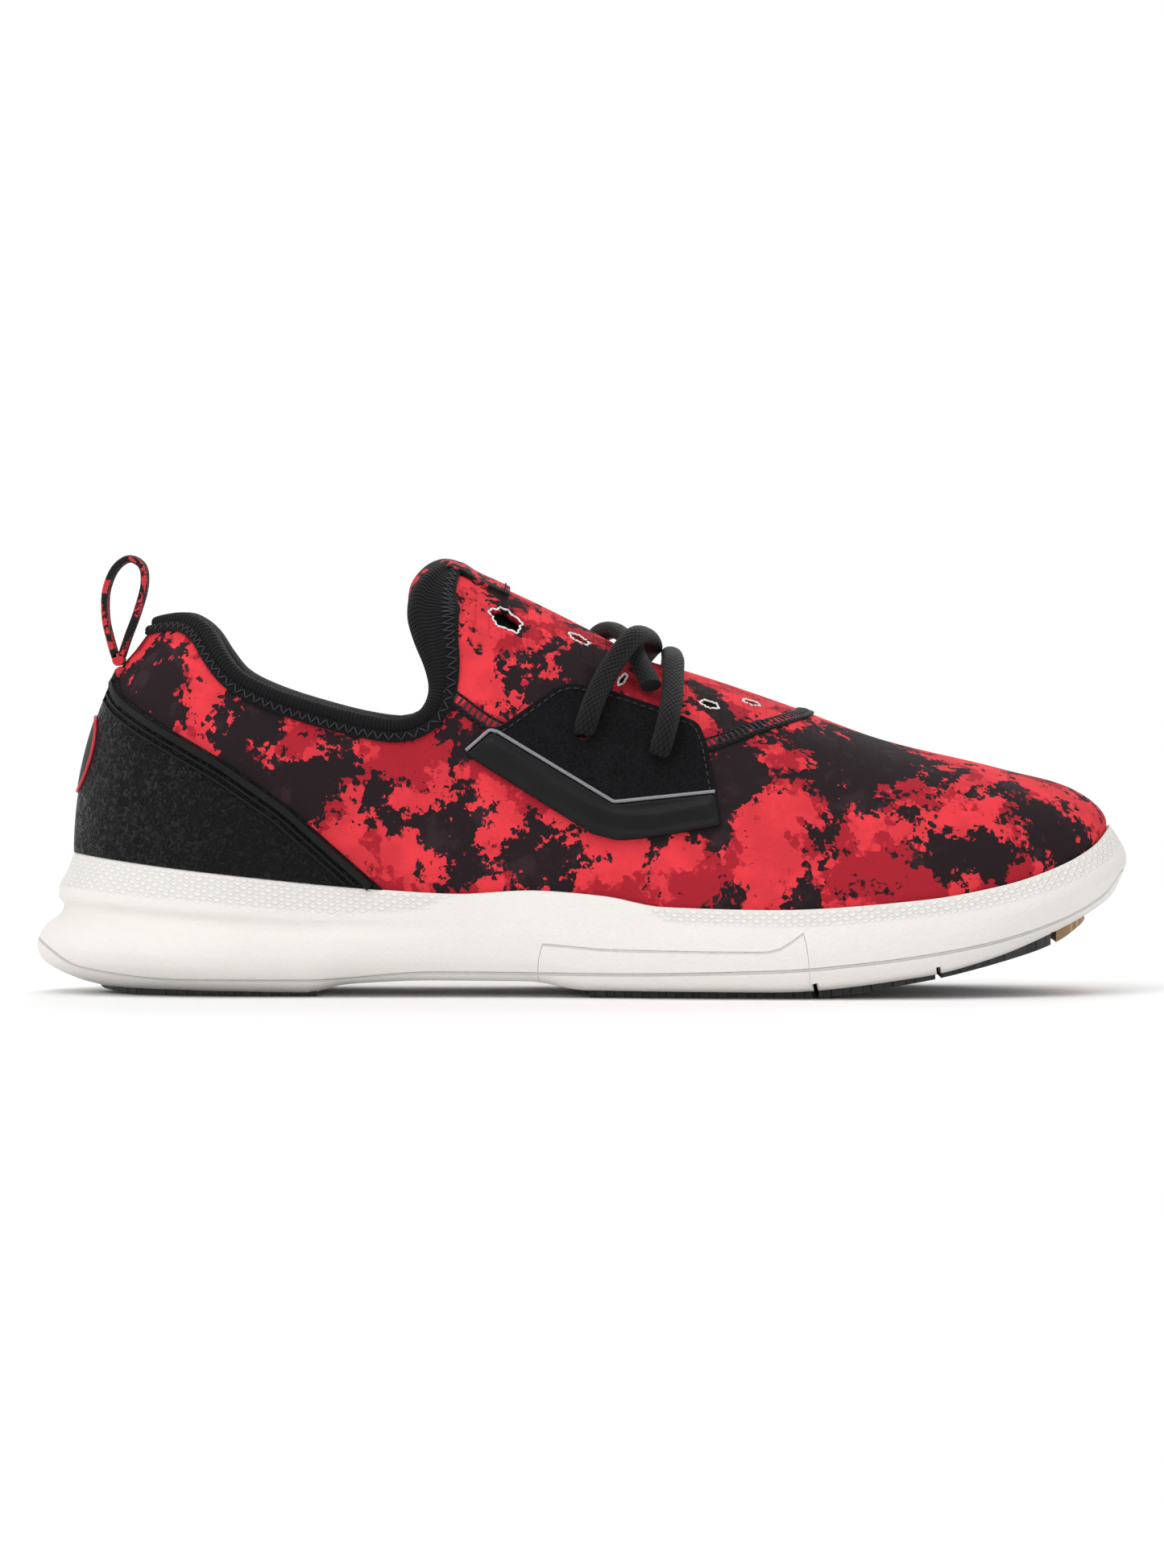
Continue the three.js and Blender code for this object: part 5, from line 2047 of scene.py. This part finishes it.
# ---------------------------------------------------------------- lace saddles
class TRAINER_OT_saddles(bpy.types.Operator):
    """Lays the suede lace saddle, its moulded film band and its reflective line on both sides"""

    bl_idname = "trainer.saddles"
    bl_label = "Lace saddles"

    def execute(self, context):
        sizes = context.scene.trainer_sizes
        for side, suffix in ((-1, "outer"), (1, "inner")):
            base = self.side_grid(side)
            self.patch(base, side, suffix, sizes)
            self.film(base, suffix, sizes)
            self.line(side, suffix, sizes)
        return {"FINISHED"}

    def side_grid(self, side):
        """A fine grid on one side of the upper, spaced evenly in side view."""
        xs, zs = np.linspace(-36, 42, 157), np.linspace(88, 38, 101)
        spots = [(x, z) for z in zs for x in xs]
        points, normals = from_side(spots, side)
        faces = grid_faces(len(zs), len(xs), False)
        if side > 0:
            faces = [tuple(reversed(face)) for face in faces]
        return Shape(points, normals, faces)

    def outline_depth(self, shape):
        return inside(rounded_outline(PATCH_OUTLINE, 1.6), shape.x, shape.z)

    def patch(self, base, side, suffix, sizes):
        patch = base.cut(self.outline_depth(base))
        patch = edged(patch, self.outline_depth, (0.1, 0.3, 0.7))
        for x, z in LACE_HOLES:
            patch = patch.cut(np.hypot(patch.x - x, patch.z - z) - 2.9)
        wall = sizes.patch_wall / MM
        height = 0.25 + rounded(self.outline_depth(patch), wall, 0.6)
        points, faces, _ = slab(patch, height, 0.05)
        piece = finish_piece(
            f"saddle_patch_{suffix}_suede",
            points,
            faces,
            finish_named("suede"),
            "shoe",
            [f"saddle_patch_{suffix}"],
        )
        crisp(piece, 60)
        bundle = Bundle()
        outline = rounded_outline(PATCH_OUTLINE, 1.6)
        inset = moved(np.vstack([outline, outline[:2]]), 1.7)[1:-1]
        if inside(outline, inset[:1, 0], inset[:1, 1])[0] < 0:
            inset = moved(np.vstack([outline, outline[:2]]), -1.7)[1:-1]
        line = evenly(inset, 300)
        shown = inside(self.film_outline(), line[:, 0], line[:, 1]) < 0.2
        place, normal = from_side(line, side)
        for run in runs_of(shown):
            if len(run) > 8:
                stitch_row(
                    bundle,
                    place[run] + normal[run] * (0.25 + wall),
                    normal[run],
                    2.3,
                    1.7,
                    sizes.thread_width / MM,
                    0.05,
                )
        bundle.piece(f"saddle_stitches_{suffix}", finish_named("thread"), "shoe", "black_textile")

    def film_outline(self):
        top = moved(LINE_EDGE, 0.8)
        return np.vstack([top, FILM_LOWER_EDGE])

    def film(self, base, suffix, sizes):
        outline = rounded_outline(self.film_outline(), 1.2)

        def depth(shape):
            return inside(outline, shape.x, shape.z)

        part = base.cut(depth(base))
        part = edged(part, depth, (0.15, 0.4, 0.8))
        wall = sizes.film_wall / MM
        low = 0.25 + sizes.patch_wall / MM
        crease = line_distance(part.points, along(CREASE, 40))
        raised = 0.75 * np.exp(-((crease / 1.5) ** 2)) - 0.35 * np.exp(-(((crease - 3.2) / 1.2) ** 2))
        height = low + rounded(depth(part), wall, 0.7) + raised * smooth(depth(part), 0.4, 2.5)
        points, faces, _ = slab(part, height, 0.3)
        piece = finish_piece(
            f"saddle_film_{suffix}_band",
            points,
            faces,
            finish_named("film"),
            "shoe",
            [f"saddle_film_{suffix}"],
        )
        crisp(piece, 60)

    def line(self, side, suffix, sizes):
        path = evenly(LINE_EDGE, 160)
        for _ in range(2):
            path[1:-1] = (path[:-2] + 2 * path[1:-1] + path[2:]) / 4
        place, normal = from_side(path, side)
        low = 0.25 + sizes.patch_wall / MM
        _, across, out = frames_along(place, normal)
        share = np.linspace(-1, 1, 5)
        top = place[:, None] + across[:, None] * (share * 0.45)[None, :, None]
        top = top + out[:, None] * (low + 0.45 - 0.2 * share**4)[None, :, None]
        base = place[:, None] + across[:, None] * (share[::-1] * 0.45)[None, :, None] + out[:, None] * 0.4
        points, faces, uvs = sweep(np.concatenate([top, base], axis=1))
        piece = finish_piece(
            f"saddle_line_{suffix}_ink",
            points,
            faces,
            finish_named("reflective"),
            "shoe",
            [f"saddle_line_{suffix}"],
            uvs,
        )
        crisp(piece, 50)


def runs_of(flags):
    """The runs of consecutive true flags, as arrays of places."""
    places = np.flatnonzero(flags)
    if not len(places):
        return []
    return np.split(places, np.flatnonzero(np.diff(places) > 1) + 1)


def rounded_outline(outline, radius):
    """A closed outline with its corners rounded."""
    line = evenly(outline, 400, closed=True)
    step = np.linalg.norm(line[1] - line[0])
    for _ in range(int((radius / step) ** 2) + 1):
        line = (np.roll(line, 1, axis=0) + 2 * line + np.roll(line, -1, axis=0)) / 4
    return line


# ---------------------------------------------------------------- pull loop
LOOP_ROUTE = [
    (-128.2, 92),
    (-129.4, 96),
    (-130.9, 103),
    (-130.6, 111),
    (-127.8, 117),
    (-124.2, 119.1),
    (-120.9, 117.2),
    (-120.2, 112.5),
    (-122.2, 104.5),
    (-124.8, 97.5),
    (-126.5, 92.4),
]


class TRAINER_OT_pull_loop(bpy.types.Operator):
    """Folds the webbing pull loop behind the heel"""

    bl_idname = "trainer.pull_loop"
    bl_label = "Pull loop"

    # Side-view x, z of the rolled root at the hinge and of the end sewn to the upper below it.
    ROOT = (-127.3, 91.4)
    SEWN_END = (-126.6, 87.9)

    def crosswise(self, spot, half):
        """A straight line across the shoe through a side-view spot."""
        return np.column_stack([np.full(9, spot[0]), np.linspace(-half, half, 9), np.full(9, spot[1])])

    def execute(self, context):
        sizes = context.scene.trainer_sizes
        half, wall = sizes.loop_width / MM / 2, sizes.loop_wall / MM
        line = along(LOOP_ROUTE, 90)
        centre = np.column_stack([line[:, 0], np.zeros(len(line)), line[:, 1]])
        run = unit(np.gradient(centre, axis=0))
        out = np.column_stack([-run[:, 2], np.zeros(len(line)), run[:, 0]])
        share = np.linspace(-1, 1, 15)
        thick = wall / 2 * (0.72 + 0.28 * (1 - np.abs(share) ** 6) - 0.1 * np.cos(share * math.pi * 2.2))
        across = np.column_stack([np.zeros(15), share * half, np.zeros(15)])
        front = centre[:, None] + across[None] + out[:, None] * thick[None, :, None]
        rear = centre[:, None] + across[None, ::-1] - out[:, None] * thick[None, ::-1, None]
        strap = Bundle()
        strap.add(np.concatenate([rear, front], axis=1)[:, ::-1])
        root = self.crosswise(self.ROOT, half)
        strap.add(tube(root, 3.2, 3.5, np.tile([0, 0, 1.0], (9, 1)), sides=14))
        piece = strap.piece(
            "heel_pull_loop_webbing",
            finish_named("webbing"),
            "pull_loop",
            "print_webbing",
            ["heel_pull_loop"],
        )
        crisp(piece, 50)
        tuck = self.crosswise(self.SEWN_END, half - 0.3)
        sewn = Bundle()
        sewn.add(tube(tuck, 2.6, 3.3, np.tile([0, 0, 1.0], (9, 1)), sides=14))
        sewn.piece("heel_loop_sewn_end", finish_named("webbing"), "shoe", "print_webbing")
        return {"FINISHED"}


class TRAINER_PT_panel(bpy.types.Panel):
    """Lists the pieces of the trainer and their sizes and colours"""

    bl_idname = "TRAINER_PT_panel"
    bl_label = "Trainer"
    bl_space_type = "VIEW_3D"
    bl_region_type = "UI"
    bl_category = "Trainer"

    def draw(self, context):
        layout = self.layout
        for operator in OPERATORS:
            layout.operator(operator.bl_idname)
        for group in (context.scene.trainer_sizes, context.scene.trainer_colours):
            box = layout.box()
            for name in group.__annotations__:
                box.prop(group, name)


OPERATORS = (
    TRAINER_OT_stage,
    TRAINER_OT_laces,
    TRAINER_OT_sole,
    TRAINER_OT_footbed,
    TRAINER_OT_inner_layers,
    TRAINER_OT_upper,
    TRAINER_OT_throat_seam,
    TRAINER_OT_collar_binding,
    TRAINER_OT_tongue_tab,
    TRAINER_OT_heel_overlay,
    TRAINER_OT_saddles,
    TRAINER_OT_pull_loop,
)
CLASSES = (TrainerSizes, TrainerColours, *OPERATORS, TRAINER_PT_panel)


def register():
    for cls in CLASSES:
        bpy.utils.register_class(cls)
    bpy.types.Scene.trainer_sizes = bpy.props.PointerProperty(type=TrainerSizes)
    bpy.types.Scene.trainer_colours = bpy.props.PointerProperty(type=TrainerColours)


def unregister():
    del bpy.types.Scene.trainer_colours
    del bpy.types.Scene.trainer_sizes
    for cls in reversed(CLASSES):
        bpy.utils.unregister_class(cls)


def main():
    """Builds everything in order."""
    register()
    for operator in OPERATORS:
        group, name = operator.bl_idname.split(".")
        getattr(getattr(bpy.ops, group), name)()


if __name__ == "__main__":
    main()
